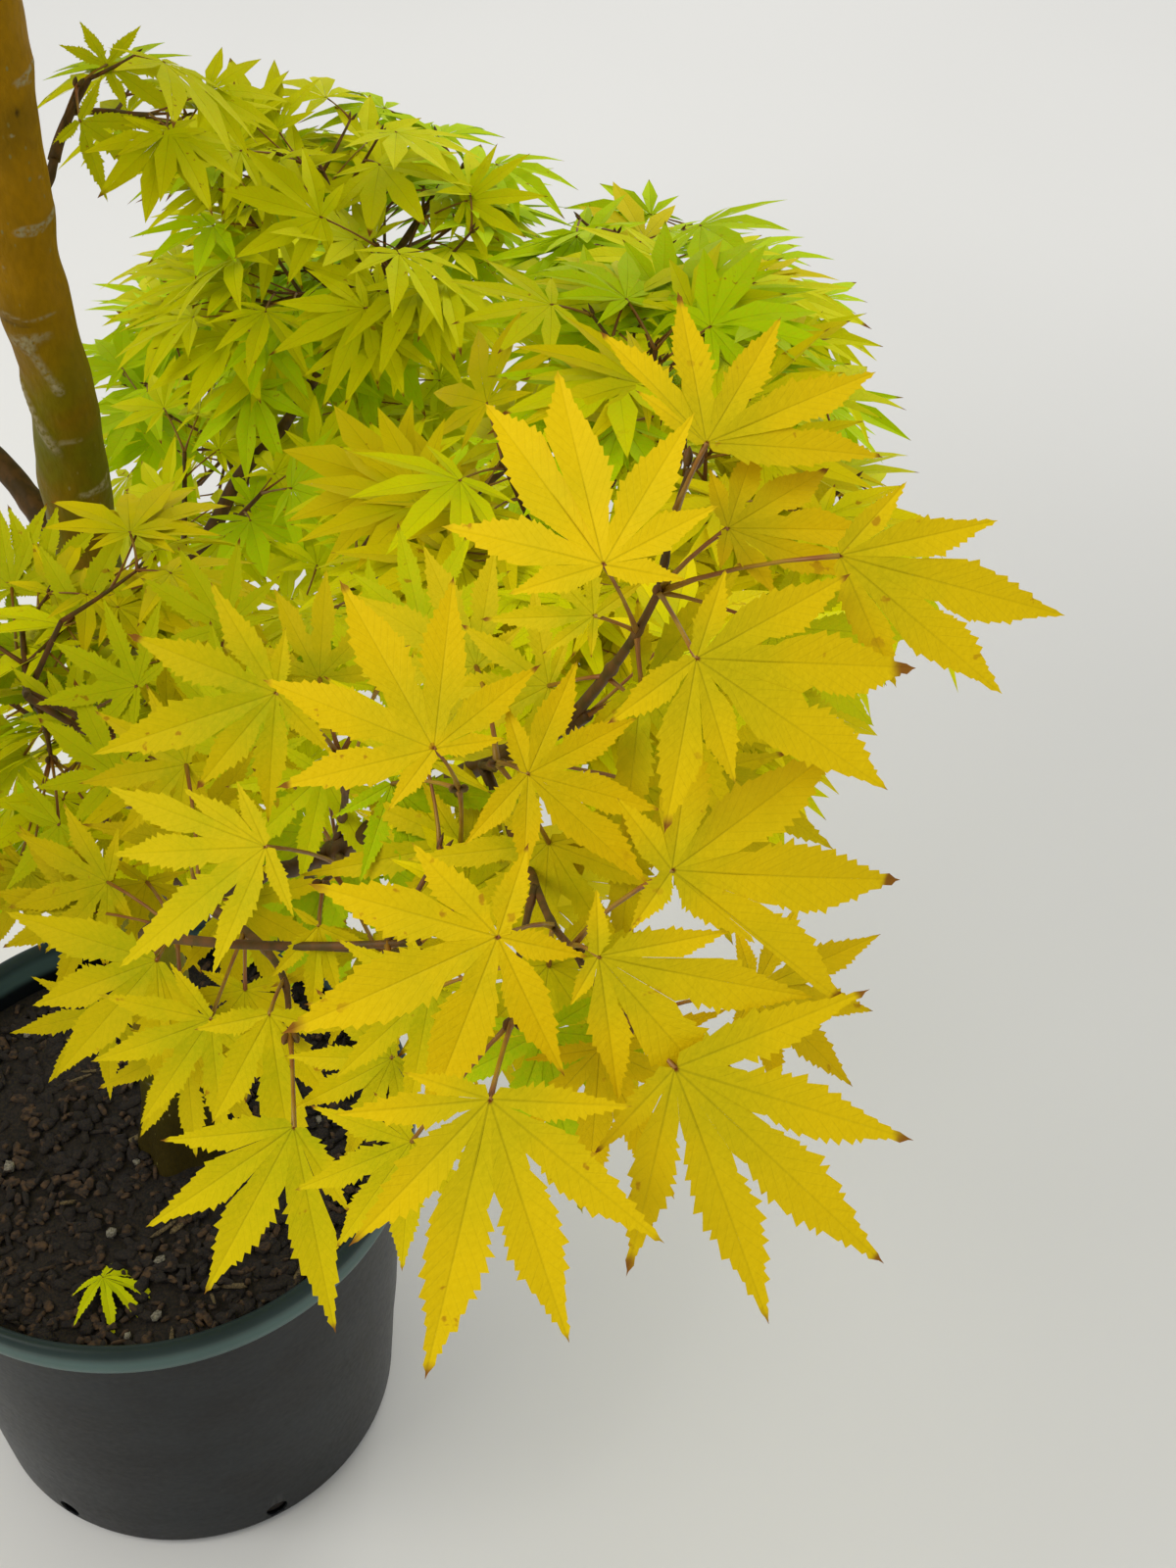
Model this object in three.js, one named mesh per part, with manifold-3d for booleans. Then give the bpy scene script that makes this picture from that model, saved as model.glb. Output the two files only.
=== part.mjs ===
// A young garden maple with yellow autumn leaves, standing in its black nursery pot.
// Millimetres, +Z up. The origin is the middle of the pot's flat underside, and -Y is the front.
import * as THREE from "three";
import { mergeVertices } from "three/addons/utils/BufferGeometryUtils.js";
import Module from "manifold-3d";

const wasm = await Module();
wasm.setup();

// Pot: a blow-moulded nursery container with a rolled rim and drain holes round its foot.
const POT_HEIGHT = 300;
const POT_RIM_RADIUS = 175;
const POT_MOUTH_RADIUS = 168;
const POT_FOOT_RADIUS = 142;
const POT_WALL = 3;
const RIM_BAND_HEIGHT = 24;
const RIM_LIP_ROUND = 3;
const FOOT_ROUND = 6;
const POT_SIDES = 36;
const DRAIN_HOLES = 6;
const DRAIN_RADIUS = 8;
const DRAIN_HEIGHT = 17;

// Potting mix: filled to a little below the rim.
const MIX_TOP = 268;
const CLEARANCE = 0.35;

// Trunk: from a flat cut on the potting mix to the fork under the crown. Its lean is given as
// [height, sideways, backwards] from its foot, with a kink at an old joint.
const TRUNK_BASE = new THREE.Vector3(22, 4, MIX_TOP);
const TRUNK_ROOTED = 20;
const TRUNK_FORK_HEIGHT = 1180;
const TRUNK_LEAN = [
  [0, 0, 0],
  [160, 4, 0],
  [380, 11, 1],
  [530, 13, 1],
  [605, 15, 1],
  [655, 10, 1],
  [705, 12, 1],
  [790, 15, 2],
  [912, 13, 3],
];
const TRUNK_BASE_RADIUS = 20;
const TRUNK_FORK_RADIUS = 14;
const FLARE_EXTRA_RADIUS = 10;
const FLARE_HEIGHT = 34;
const FLARE_LOBES = 5;
const TRUNK_SIDES = 12;
const TRUNK_STEPS = 20;

// Boughs: each is one tapering limb, [name, root, heading, reach, height, root radius, tip
// radius, arch]. It leaves its parent at "root", a height up the trunk or the tip of another
// bough, and ends at a heading in degrees from +X, at a reach from the trunk's foot and a height
// above the ground. Its arch lifts its middle, or lets it sag when negative.
const BOUGHS = [
  ["front_bough", 520, -63, 384, 912, 8.5, 4.4, -0.03],
  ["front_upper_bough", "front_bough", -59, 502, 1062, 4, 2.8, 0.02],
  ["front_side_bough", "front_bough", -71, 420, 950, 3.4, 2.6, 0.02],
  ["front_left_bough", 585, -112, 400, 965, 7.5, 3.2, -0.04],
  ["inner_front_bough", 610, -84, 140, 795, 4.5, 2.6, -0.02],
  ["right_front_bough", 640, -30, 265, 872, 6.5, 2.8, 0.03],
  ["right_bough", 560, 23, 270, 770, 6.5, 2.8, 0.06],
  ["back_right_bough", 670, 45, 165, 785, 5.5, 2.6, 0.04],
  ["low_back_bough", 430, 72, 165, 620, 6, 2.6, 0.03],
  ["back_left_bough", 720, 132, 370, 1035, 7, 3, -0.03],
  ["left_bough", 655, -171, 400, 1000, 7.5, 3.2, -0.04],
  ["spur_bough", 930, 66, 50, 962, 3, 2.2, 0.05],
  ["mid_right_bough", 1105, 12, 330, 1215, 6.5, 2.8, -0.02],
  ["mid_back_bough", 1085, 80, 345, 1160, 6.5, 2.8, 0.04],
  ["leader_bough", 1180, 175, 30, 1545, 10, 3.4, 0.02],
  ["upper_right_bough", 1155, 18, 245, 1420, 7, 3, -0.05],
  ["upper_back_bough", 1130, 98, 275, 1395, 7, 3, -0.05],
  ["upper_left_bough", 1010, 168, 310, 1350, 7.5, 3, -0.05],
  ["upper_front_left_bough", 1035, -122, 270, 1345, 7, 3, -0.05],
  ["upper_front_right_bough", 1168, -56, 240, 1405, 6.5, 3, -0.06],
].map(([name, root, heading, reach, height, rootRadius, tipRadius, arch]) => {
  return { name, root, heading, reach, height, rootRadius, tipRadius, arch };
});
const BOUGH_SIDES = 6;
const BOUGH_STEPS = 5;
const COLLAR_EXTRA = 0.45;
const COLLAR_SHARE = 0.05;
const ZIGZAG_SHARE = 0.012;

// Foliage masses: each keeps to its own round space at the end of a bough, [name, bough,
// heading, reach, height, half-width, half-height, twigs], placed as the boughs' ends are.
const MASSES = [
  ["front_foliage", "front_upper_bough", -62, 580, 1120, 155, 150, 8],
  ["front_side_foliage", "front_side_bough", -73, 478, 995, 150, 125, 7],
  ["front_left_foliage", "front_left_bough", -113, 480, 1005, 190, 140, 8],
  ["inner_front_foliage", "inner_front_bough", -81, 192, 840, 120, 95, 6],
  ["right_front_foliage", "right_front_bough", -30, 335, 915, 145, 110, 6],
  ["right_foliage", "right_bough", 24, 345, 815, 145, 105, 6],
  ["back_right_foliage", "back_right_bough", 49, 245, 822, 145, 105, 6],
  ["low_back_foliage", "low_back_bough", 73, 250, 665, 160, 110, 6],
  ["back_left_foliage", "back_left_bough", 132, 450, 1080, 195, 140, 8],
  ["left_foliage", "left_bough", -171, 480, 1040, 195, 140, 8],
  ["spur_foliage", "spur_bough", 65, 98, 982, 85, 65, 4],
  ["mid_right_foliage", "mid_right_bough", 14, 405, 1245, 180, 120, 7],
  ["mid_back_foliage", "mid_back_bough", 78, 425, 1185, 185, 125, 7],
  ["top_foliage", "leader_bough", 170, 35, 1620, 190, 160, 8],
  ["upper_right_foliage", "upper_right_bough", 18, 320, 1475, 190, 140, 7],
  ["upper_back_foliage", "upper_back_bough", 98, 350, 1440, 190, 140, 7],
  ["upper_left_foliage", "upper_left_bough", 168, 385, 1400, 195, 145, 8],
  ["upper_front_left_foliage", "upper_front_left_bough", -122, 345, 1395, 190, 140, 8],
  ["upper_front_right_foliage", "upper_front_right_bough", -56, 300, 1460, 180, 130, 7],
].map(([name, bough, heading, reach, height, wide, deep, twigs]) => {
  return { name, bough, heading, reach, height, wide, deep, twigs };
});
const OWN_SHARE = 0.95;
const TWIG_REACH = 0.62;
const TWIG_ANGLE = 50;
const TWIG_ROOM = 5;
const BACKWARD_LIMIT = 0.85;
const STEM_RADIUS = 4;
const STEM_TIP_RADIUS = 3;
const TWIG_RADIUS = 1.7;
const TWIG_TIP_RADIUS = 1.6;
const TWIG_SIDES = 3;
const STEM_JOINTS = 8;
const FIRST_JOINT = 0.2;
const LAST_JOINT = 0.92;
const LEAF_JOINTS = [
  { along: 0.94, spread: 32 },
  { along: 0.55, spread: 62 },
];
const SEED = 71;

// Leaf: a thin palmate blade of five pointed lobes on a tapering stalk, mostly larger than life
// because each stands for several. Its length is a share of its mass's half-width, and lobes
// and notches are [degrees from the middle, share of the length].
const LEAF_SHARE = 0.43;
const LEAF_SPACING = 0.58;
const LEAF_THICKNESS = 4;
const LEAF_STALK = 0.5;
const STALK_SUNK = 1.2;
const LEAF_ROOM = 3;
const LEAF_SWINGS = [0, 24, -24, 48, -48];
const LENGTH_RANGE = [0.86, 1.14];
const CURL_RANGE = [0.1, 0.22];
const HANG_RANGE = [0.3, 0.75];
const ROLL_RANGE = [-0.55, 0.55];
const HALF_LEAF = [
  [0, 1.0],
  [21, 0.42],
  [44, 0.9],
  [66, 0.34],
  [92, 0.66],
  [140, 0.12],
];

// Colours, as sRGB.
const POT_BLACK = 0x25282a;
const MIX_BROWN = 0x2b211a;
const BARK_OLIVE = 0x6d5c12;
const TWIG_BROWN = 0x6b4a2a;
const LEAF_YELLOW = 0xd9c414;
const LEAF_GREEN = 0xa8c01a;

const potPlastic = new THREE.MeshStandardMaterial({ color: POT_BLACK, roughness: 0.5, metalness: 0 });
const pottingMix = new THREE.MeshStandardMaterial({ color: MIX_BROWN, roughness: 1, metalness: 0 });
const oliveBark = new THREE.MeshStandardMaterial({ color: BARK_OLIVE, roughness: 0.6, metalness: 0 });
const twigBark = new THREE.MeshStandardMaterial({ color: TWIG_BROWN, roughness: 0.7, metalness: 0 });
const yellowLeaf = new THREE.MeshStandardMaterial({ color: LEAF_YELLOW, roughness: 0.6, metalness: 0 });
const greenLeaf = new THREE.MeshStandardMaterial({ color: LEAF_GREEN, roughness: 0.6, metalness: 0 });

const UP = new THREE.Vector3(0, 0, 1);
const FRONT = new THREE.Vector3(0, -1, 0);
const GOLDEN_ANGLE = Math.PI * (3 - Math.sqrt(5));

// A repeatable stream of numbers from 0 to 1.
function seededRandom(seed) {
  let state = seed >>> 0;
  return () => {
    state = (state + 0x6d2b79f5) >>> 0;
    let t = state;
    t = Math.imul(t ^ (t >>> 15), t | 1);
    t ^= t + Math.imul(t ^ (t >>> 7), t | 61);
    return ((t ^ (t >>> 14)) >>> 0) / 4294967296;
  };
}

// A number picked at random between two ends.
const between = ([low, high], random) => low + (high - low) * random();

// Turns a closed geometry into a solid that can be joined and cut.
function solidFrom(geometry) {
  const bare = geometry.index ? geometry.toNonIndexed() : geometry.clone();
  bare.deleteAttribute("normal");
  bare.deleteAttribute("uv");
  const merged = mergeVertices(bare, 1e-3);
  return new wasm.Manifold(
    new wasm.Mesh({
      numProp: 3,
      vertProperties: new Float32Array(merged.attributes.position.array),
      triVerts: new Uint32Array(merged.index.array),
    }),
  );
}

// Turns a solid back into a named mesh.
function meshFrom(solid, name, material) {
  const { vertProperties, triVerts } = solid.getMesh();
  const geometry = new THREE.BufferGeometry();
  geometry.setAttribute("position", new THREE.BufferAttribute(new Float32Array(vertProperties), 3));
  geometry.setIndex(new THREE.BufferAttribute(new Uint32Array(triVerts), 1));
  const flat = geometry.toNonIndexed();
  flat.computeVertexNormals();
  const mesh = new THREE.Mesh(flat, material);
  mesh.name = name;
  return mesh;
}

const join = (whole, piece) => whole.add(piece);

// The largest body of a solid: what a cut or a missed join leaves loose is dropped.
function largestBody(solid) {
  return solid.decompose().sort((a, b) => b.volume() - a.volume())[0];
}

// A point at a heading and reach from the trunk's foot, at a height above the ground.
function placeAt({ heading, reach, height }) {
  const angle = THREE.MathUtils.degToRad(heading);
  return new THREE.Vector3(
    TRUNK_BASE.x + reach * Math.cos(angle),
    TRUNK_BASE.y + reach * Math.sin(angle),
    height,
  );
}

// A limb: a cylinder bent along a curve, its radius given along and round it. Its sides count
// from the one underneath, or at the front where the limb stands upright.
function limbGeometry(curve, radiusAt, sides, steps) {
  const geometry = new THREE.CylinderGeometry(1, 1, 1, sides, steps);
  const chord = new THREE.Vector3().subVectors(curve.getPointAt(1), curve.getPointAt(0)).normalize();
  const over = Math.abs(chord.z) > 0.9 ? FRONT : UP;
  const position = geometry.attributes.position;
  for (let i = 0; i < position.count; i++) {
    const along = THREE.MathUtils.clamp(position.getY(i) + 0.5, 0, 1);
    const tangent = curve.getTangentAt(along);
    const side = new THREE.Vector3().crossVectors(over, tangent).normalize();
    const under = new THREE.Vector3().crossVectors(side, tangent);
    const across = position.getX(i);
    const below = position.getZ(i);
    const radius = radiusAt(along, Math.atan2(below, across));
    const point = curve.getPointAt(along);
    point.addScaledVector(side, across * radius).addScaledVector(under, below * radius);
    position.setXYZ(i, point.x, point.y, point.z);
  }
  return geometry;
}

// Pot profile, from the middle of the underside out, up, over the rim and down the inside.
function potProfile() {
  const bandFoot = POT_HEIGHT - RIM_BAND_HEIGHT;
  const outerAt = (z) => THREE.MathUtils.mapLinear(z, 0, bandFoot, POT_FOOT_RADIUS, POT_MOUTH_RADIUS);
  return [
    [0, 0],
    [POT_FOOT_RADIUS - FOOT_ROUND, 0],
    [outerAt(FOOT_ROUND), FOOT_ROUND],
    [outerAt(bandFoot), bandFoot],
    [POT_RIM_RADIUS - RIM_LIP_ROUND, bandFoot + 1],
    [POT_RIM_RADIUS - RIM_LIP_ROUND, POT_HEIGHT - RIM_LIP_ROUND * 2],
    [POT_RIM_RADIUS, POT_HEIGHT - RIM_LIP_ROUND],
    [POT_RIM_RADIUS - RIM_LIP_ROUND, POT_HEIGHT],
    [outerAt(bandFoot) - POT_WALL, POT_HEIGHT - RIM_LIP_ROUND],
    [outerAt(bandFoot) - POT_WALL, bandFoot],
    [outerAt(POT_WALL) - POT_WALL, POT_WALL],
    [0, POT_WALL],
  ].map(([radius, z]) => new THREE.Vector2(radius, z));
}

// LatheGeometry turns about Y, so a quarter turn stands its result upright.
function pot() {
  const shell = solidFrom(new THREE.LatheGeometry(potProfile(), POT_SIDES).rotateX(Math.PI / 2));
  const drain = new THREE.CylinderGeometry(DRAIN_RADIUS, DRAIN_RADIUS, 30, 8);
  drain.translate(0, POT_FOOT_RADIUS, 0);
  const drains = Array.from({ length: DRAIN_HOLES }, (_, i) =>
    solidFrom(
      drain
        .clone()
        .rotateZ(((i + 0.5) * 2 * Math.PI) / DRAIN_HOLES)
        .translate(0, 0, DRAIN_HEIGHT),
    ),
  );
  return shell.subtract(drains.reduce(join));
}

// The mix fills the pot a hair clear of its wall and floor.
function pottingMixBody() {
  const bandFoot = POT_HEIGHT - RIM_BAND_HEIGHT;
  const outerAt = (z) => THREE.MathUtils.mapLinear(z, 0, bandFoot, POT_FOOT_RADIUS, POT_MOUTH_RADIUS);
  const innerAt = (z) => outerAt(z) - POT_WALL - 1.5 * CLEARANCE;
  const foot = POT_WALL + CLEARANCE;
  const profile = [
    [0, foot],
    [innerAt(foot), foot],
    [innerAt(MIX_TOP), MIX_TOP],
    [0, MIX_TOP],
  ].map(([radius, z]) => new THREE.Vector2(radius, z));
  return solidFrom(new THREE.LatheGeometry(profile, POT_SIDES).rotateX(Math.PI / 2));
}

const trunkRise = TRUNK_FORK_HEIGHT - MIX_TOP;
const trunkCurve = new THREE.CatmullRomCurve3([
  TRUNK_BASE.clone().addScaledVector(UP, -TRUNK_ROOTED),
  ...TRUNK_LEAN.map(([height, x, y]) => TRUNK_BASE.clone().add(new THREE.Vector3(x, y, height))),
]);

// The trunk's middle at a height above the ground.
function trunkAt(height) {
  const along = THREE.MathUtils.inverseLerp(MIX_TOP - TRUNK_ROOTED, TRUNK_FORK_HEIGHT, height);
  return trunkCurve.getPointAt(along);
}

function trunkRadius(along, round) {
  const above = Math.max(0, along * (trunkRise + TRUNK_ROOTED) - TRUNK_ROOTED);
  const flare = Math.exp(-above / FLARE_HEIGHT);
  const taper = THREE.MathUtils.lerp(TRUNK_BASE_RADIUS, TRUNK_FORK_RADIUS, along);
  return taper + flare * FLARE_EXTRA_RADIUS * (0.7 + 0.3 * Math.cos(FLARE_LOBES * round));
}

// The trunk's shaft runs on a little below the mix's top, where it is then cut flat.
function trunk(extra = 0) {
  const shaft = limbGeometry(trunkCurve, (t, a) => trunkRadius(t, a) + extra, TRUNK_SIDES, TRUNK_STEPS);
  const below = new THREE.BoxGeometry(200, 200, 100);
  below.translate(TRUNK_BASE.x, TRUNK_BASE.y, MIX_TOP + CLEARANCE - 50);
  return solidFrom(shaft).subtract(solidFrom(below));
}

// Each bough's curve: an arch between its ends, with a small zigzag as at a maple's joints.
function boughCurve(bough, start) {
  const end = placeAt(bough);
  const span = end.distanceTo(start);
  const side = new THREE.Vector3().subVectors(end, start).cross(UP).normalize();
  const points = Array.from({ length: 7 }, (_, i) => {
    const share = i / 6;
    const bow = 4 * share * (1 - share);
    const zigzag = i % 2 ? ZIGZAG_SHARE : -ZIGZAG_SHARE;
    return new THREE.Vector3()
      .lerpVectors(start, end, share)
      .addScaledVector(UP, bow * bough.arch * span)
      .addScaledVector(side, (share > 0 && share < 1 ? zigzag : 0) * span);
  });
  return new THREE.CatmullRomCurve3(points);
}

function boughRadius(bough, along) {
  const collar = 1 + COLLAR_EXTRA * Math.exp(-along / COLLAR_SHARE);
  return THREE.MathUtils.lerp(bough.rootRadius, bough.tipRadius, along) * collar;
}

// A flat ended limb that starts at the tip of another leaves this much room before it.
function pastTip(curve) {
  return curve.getPointAt(1).addScaledVector(curve.getTangentAt(1), CLEARANCE);
}

const curves = new Map();
const limbSolids = [];
const limbPoints = [];

// Keeps a limb, with the grown shape that cuts room for it out of its neighbours.
function keepLimb(name, solid, grown, curve, radiusAt, material) {
  limbSolids.push({ name, solid, grown, material });
  curve.getSpacedPoints(40).forEach((point, i) => limbPoints.push({ point, radius: radiusAt(i / 40) }));
}

function buildLimbs() {
  keepLimb("trunk", trunk(), trunk(CLEARANCE), trunkCurve, (t) => trunkRadius(t, 0), oliveBark);
  for (const bough of BOUGHS) {
    const parent = curves.get(bough.root);
    const atFork = bough.root === TRUNK_FORK_HEIGHT;
    const lift = atFork ? CLEARANCE : 0;
    const start = parent ? pastTip(parent) : trunkAt(bough.root).addScaledVector(UP, lift);
    const curve = boughCurve(bough, start);
    const radiusAt = (t) => boughRadius(bough, t);
    const grown = (extra) =>
      solidFrom(limbGeometry(curve, (t) => radiusAt(t) + extra, BOUGH_SIDES, BOUGH_STEPS));
    const near = limbSolids.map((limb) => limb.grown).reduce(join);
    const solid = largestBody(grown(0).subtract(near));
    curves.set(bough.name, curve);
    keepLimb(bough.name, solid, grown(CLEARANCE), curve, radiusAt, atFork ? oliveBark : twigBark);
  }
}

// How far a point lies from a mass's middle, 1 being the edge of its round space.
function shareOut(point, mass) {
  const away = new THREE.Vector3().subVectors(point, placeAt(mass));
  return Math.hypot(away.x / mass.wide, away.y / mass.wide, away.z / mass.deep);
}

// A point belongs to a mass that it lies inside and is nearest to, by those shares.
function inOwnSpace(point, mass) {
  const own = shareOut(point, mass);
  return own <= 1 && MASSES.every((other) => other === mass || own < OWN_SHARE * shareOut(point, other));
}

function clearOfLimbs(point, room) {
  return limbPoints.every((limb) => limb.point.distanceTo(point) > limb.radius + room);
}

// The blade's outline in its own plane: +Y runs to the middle lobe, and the stalk's end is last.
function leafOutline(length, stalk) {
  const right = HALF_LEAF.map(([degrees, share]) => {
    const angle = THREE.MathUtils.degToRad(degrees);
    return [Math.sin(angle) * share * length, Math.cos(angle) * share * length];
  });
  const left = right.slice(1).map(([x, y]) => [-x, y]);
  return [...right, [0, -stalk], ...left.reverse()];
}

// A leaf: its outline rises to one point on each side of the blade's middle, and its tips curl
// down.
function leafGeometry(length, stalk, curl) {
  const outline = leafOutline(length, stalk).map(([x, y]) => {
    const out = Math.hypot(x, y) / length;
    return new THREE.Vector3(x, y, y === -stalk ? 0 : -curl * length * out * out);
  });
  const top = new THREE.Vector3(0, 0, LEAF_THICKNESS / 2);
  const under = new THREE.Vector3(0, 0, -LEAF_THICKNESS / 2);
  const faces = outline.flatMap((point, i) => {
    const next = outline[(i + 1) % outline.length];
    return [top, next, point, under, point, next];
  });
  return new THREE.BufferGeometry().setFromPoints(faces);
}

// Stands a leaf on its stalk's end, pointing along "away" with its face turned up.
function placedLeaf(node, away, size, random) {
  const length = size * between(LENGTH_RANGE, random);
  const curl = between(CURL_RANGE, random);
  const side = new THREE.Vector3().crossVectors(away, UP).normalize();
  side.applyAxisAngle(away, between(ROLL_RANGE, random));
  const face = new THREE.Vector3().crossVectors(side, away).normalize();
  const middle = node.clone().addScaledVector(away, LEAF_STALK * length);
  const place = new THREE.Matrix4().makeBasis(side, away, face).setPosition(middle);
  const whole = leafGeometry(length, LEAF_STALK * length + STALK_SUNK, curl).applyMatrix4(place);
  const blade = leafGeometry(length, 0.12 * length, curl).applyMatrix4(place);
  return { middle, whole, blade };
}

// True if every corner of a leaf keeps to its mass's space and clear of every limb.
function leafFits(leaf, mass) {
  const position = leaf.blade.attributes.position;
  for (let i = 0; i < position.count; i++) {
    const corner = new THREE.Vector3().fromBufferAttribute(position, i);
    if (!inOwnSpace(corner, mass) || !clearOfLimbs(corner, LEAF_ROOM)) return false;
    if (!clearOfLimbs(corner.lerp(leaf.middle, 0.5), LEAF_ROOM)) return false;
  }
  return true;
}

// Directions spread evenly over a ball, by the golden angle.
function evenDirections(count, turn) {
  return Array.from({ length: count }, (_, i) => {
    const z = 1 - (2 * i + 1) / count;
    const angle = i * GOLDEN_ANGLE + turn;
    const level = Math.sqrt(1 - z * z);
    return new THREE.Vector3(Math.cos(angle) * level, Math.sin(angle) * level, z);
  });
}

// The free stem joint that a twig to "end" leaves from: the one that it leaves nearest to the
// usual angle. Each joint is used once.
function takeJoint(joints, stem, end) {
  const lean = (along) => {
    const toEnd = new THREE.Vector3().subVectors(end, stem.getPointAt(along));
    return Math.abs(toEnd.angleTo(stem.getTangentAt(along)) - THREE.MathUtils.degToRad(TWIG_ANGLE));
  };
  const best = joints.reduce((a, b) => (lean(b) < lean(a) ? b : a));
  joints.splice(joints.indexOf(best), 1);
  return best;
}

// The pair of leaves at a twig's joint, each swung aside until it finds room.
function leafPair(twig, { along, spread }, mass, random, hasRoom) {
  const ahead = twig.getTangentAt(along);
  const across = new THREE.Vector3().crossVectors(ahead, UP).normalize();
  const pair = [];
  for (const hand of [-1, 1]) {
    const node = twig.getPointAt(along + 0.02 * hand);
    const hang = between(HANG_RANGE, random);
    for (const swing of LEAF_SWINGS) {
      const angle = THREE.MathUtils.degToRad(hand * spread + swing);
      const away = ahead
        .clone()
        .multiplyScalar(Math.cos(angle))
        .addScaledVector(across, Math.sin(angle))
        .addScaledVector(UP, -hang)
        .normalize();
      const leaf = placedLeaf(node, away, LEAF_SHARE * mass.wide, random);
      if (leafFits(leaf, mass) && hasRoom(leaf)) {
        pair.push(leaf);
        break;
      }
    }
  }
  return pair;
}

// One mass: a stem grows on from its bough's tip through the space, twigs leave its joints for
// evenly spread points, and pairs of leaves stand at the twigs' joints. What would leave the
// space or touch a limb is skipped.
function foliage(mass, index) {
  const random = seededRandom(SEED + index);
  const carrier = curves.get(mass.bough);
  const middle = placeAt(mass);
  const size = new THREE.Vector3(mass.wide, mass.wide, mass.deep);
  const inSpace = (direction, share) =>
    middle.clone().add(direction.clone().multiply(size).multiplyScalar(share));
  const start = pastTip(carrier);
  const entry = new THREE.Vector3().subVectors(start, middle).divide(size).normalize();
  const stemEnd = inSpace(entry, -TWIG_REACH);
  const stemBend = start.clone().addScaledVector(carrier.getTangentAt(1), 0.4 * start.distanceTo(stemEnd));
  const stem = new THREE.QuadraticBezierCurve3(start, stemBend, stemEnd);
  const stemRadius = (t) => THREE.MathUtils.lerp(STEM_RADIUS, STEM_TIP_RADIUS, t);
  const twigRadius = (t) => THREE.MathUtils.lerp(TWIG_RADIUS, TWIG_TIP_RADIUS, t);
  const twigs = [stem];
  const wood = [solidFrom(limbGeometry(stem, stemRadius, TWIG_SIDES, 3))];
  const joints = Array.from({ length: STEM_JOINTS }, (_, i) =>
    THREE.MathUtils.mapLinear(i, 0, STEM_JOINTS - 1, FIRST_JOINT, LAST_JOINT),
  );
  for (const direction of evenDirections(mass.twigs, random() * 2 * Math.PI)) {
    if (Math.abs(direction.dot(entry)) > BACKWARD_LIMIT) continue;
    const end = inSpace(direction, TWIG_REACH);
    const twig = new THREE.LineCurve3(stem.getPointAt(takeJoint(joints, stem, end)), end);
    const clear = (point) => inOwnSpace(point, mass) && clearOfLimbs(point, TWIG_ROOM);
    if (!twig.getPoints(6).every(clear)) continue;
    twigs.push(twig);
    wood.push(solidFrom(limbGeometry(twig, twigRadius, TWIG_SIDES, 1)));
  }
  let grown = wood.reduce(join);
  const leaves = [];
  const leafSize = LEAF_SHARE * mass.wide;
  const hasRoom = (leaf) =>
    leaves.every((other) => other.middle.distanceTo(leaf.middle) > LEAF_SPACING * leafSize) &&
    grown.intersect(solidFrom(leaf.blade)).getMesh().triVerts.length === 0;
  for (const joint of LEAF_JOINTS) {
    for (const twig of twigs) {
      if (twig === stem && joint !== LEAF_JOINTS[0]) continue;
      for (const leaf of leafPair(twig, joint, mass, random, hasRoom)) {
        leaves.push(leaf);
        grown = grown.add(solidFrom(leaf.whole));
      }
    }
  }
  return largestBody(grown.subtract(limbSolids.map((limb) => limb.grown).reduce(join)));
}

buildLimbs();

const maple = new THREE.Group();
maple.add(meshFrom(pot(), "pot", potPlastic));
maple.add(meshFrom(pottingMixBody(), "potting_mix", pottingMix));
for (const { name, solid, material } of limbSolids) {
  maple.add(meshFrom(solid, name, material));
}
MASSES.forEach((mass, index) => {
  const sunny = mass.name.startsWith("front");
  maple.add(meshFrom(foliage(mass, index), mass.name, sunny ? yellowLeaf : greenLeaf));
});

export default maple;
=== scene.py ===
"""A young garden maple in yellow autumn leaf, standing in its black nursery pot.

Lengths are in millimetres until a piece becomes a mesh. +Z is up and -Y is the front."""

from functools import partial

import bpy
import numpy as np
from bpy.props import FloatProperty, FloatVectorProperty, IntProperty, PointerProperty
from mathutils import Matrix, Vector


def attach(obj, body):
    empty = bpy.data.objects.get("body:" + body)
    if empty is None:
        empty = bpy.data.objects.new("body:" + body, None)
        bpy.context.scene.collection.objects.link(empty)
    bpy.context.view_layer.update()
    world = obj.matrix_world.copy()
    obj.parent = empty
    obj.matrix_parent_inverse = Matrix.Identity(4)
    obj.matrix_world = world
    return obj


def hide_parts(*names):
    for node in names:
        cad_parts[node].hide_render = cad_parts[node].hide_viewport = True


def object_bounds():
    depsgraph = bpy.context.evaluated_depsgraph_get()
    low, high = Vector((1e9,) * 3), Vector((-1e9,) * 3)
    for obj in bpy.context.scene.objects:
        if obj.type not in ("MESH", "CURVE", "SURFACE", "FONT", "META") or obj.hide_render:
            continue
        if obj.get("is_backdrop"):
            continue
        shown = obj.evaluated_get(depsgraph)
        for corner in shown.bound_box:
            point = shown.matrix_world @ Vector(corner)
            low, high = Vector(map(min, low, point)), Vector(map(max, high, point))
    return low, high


bl_info = {
    "name": "Potted garden maple",
    "version": (1, 0, 0),
    "blender": (4, 5, 0),
    "location": "3D View > Sidebar > Maple",
    "description": "Dresses the maple's frame with pot, potting mix, bark, twigs and leaves",
    "category": "Add Mesh",
}

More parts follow.
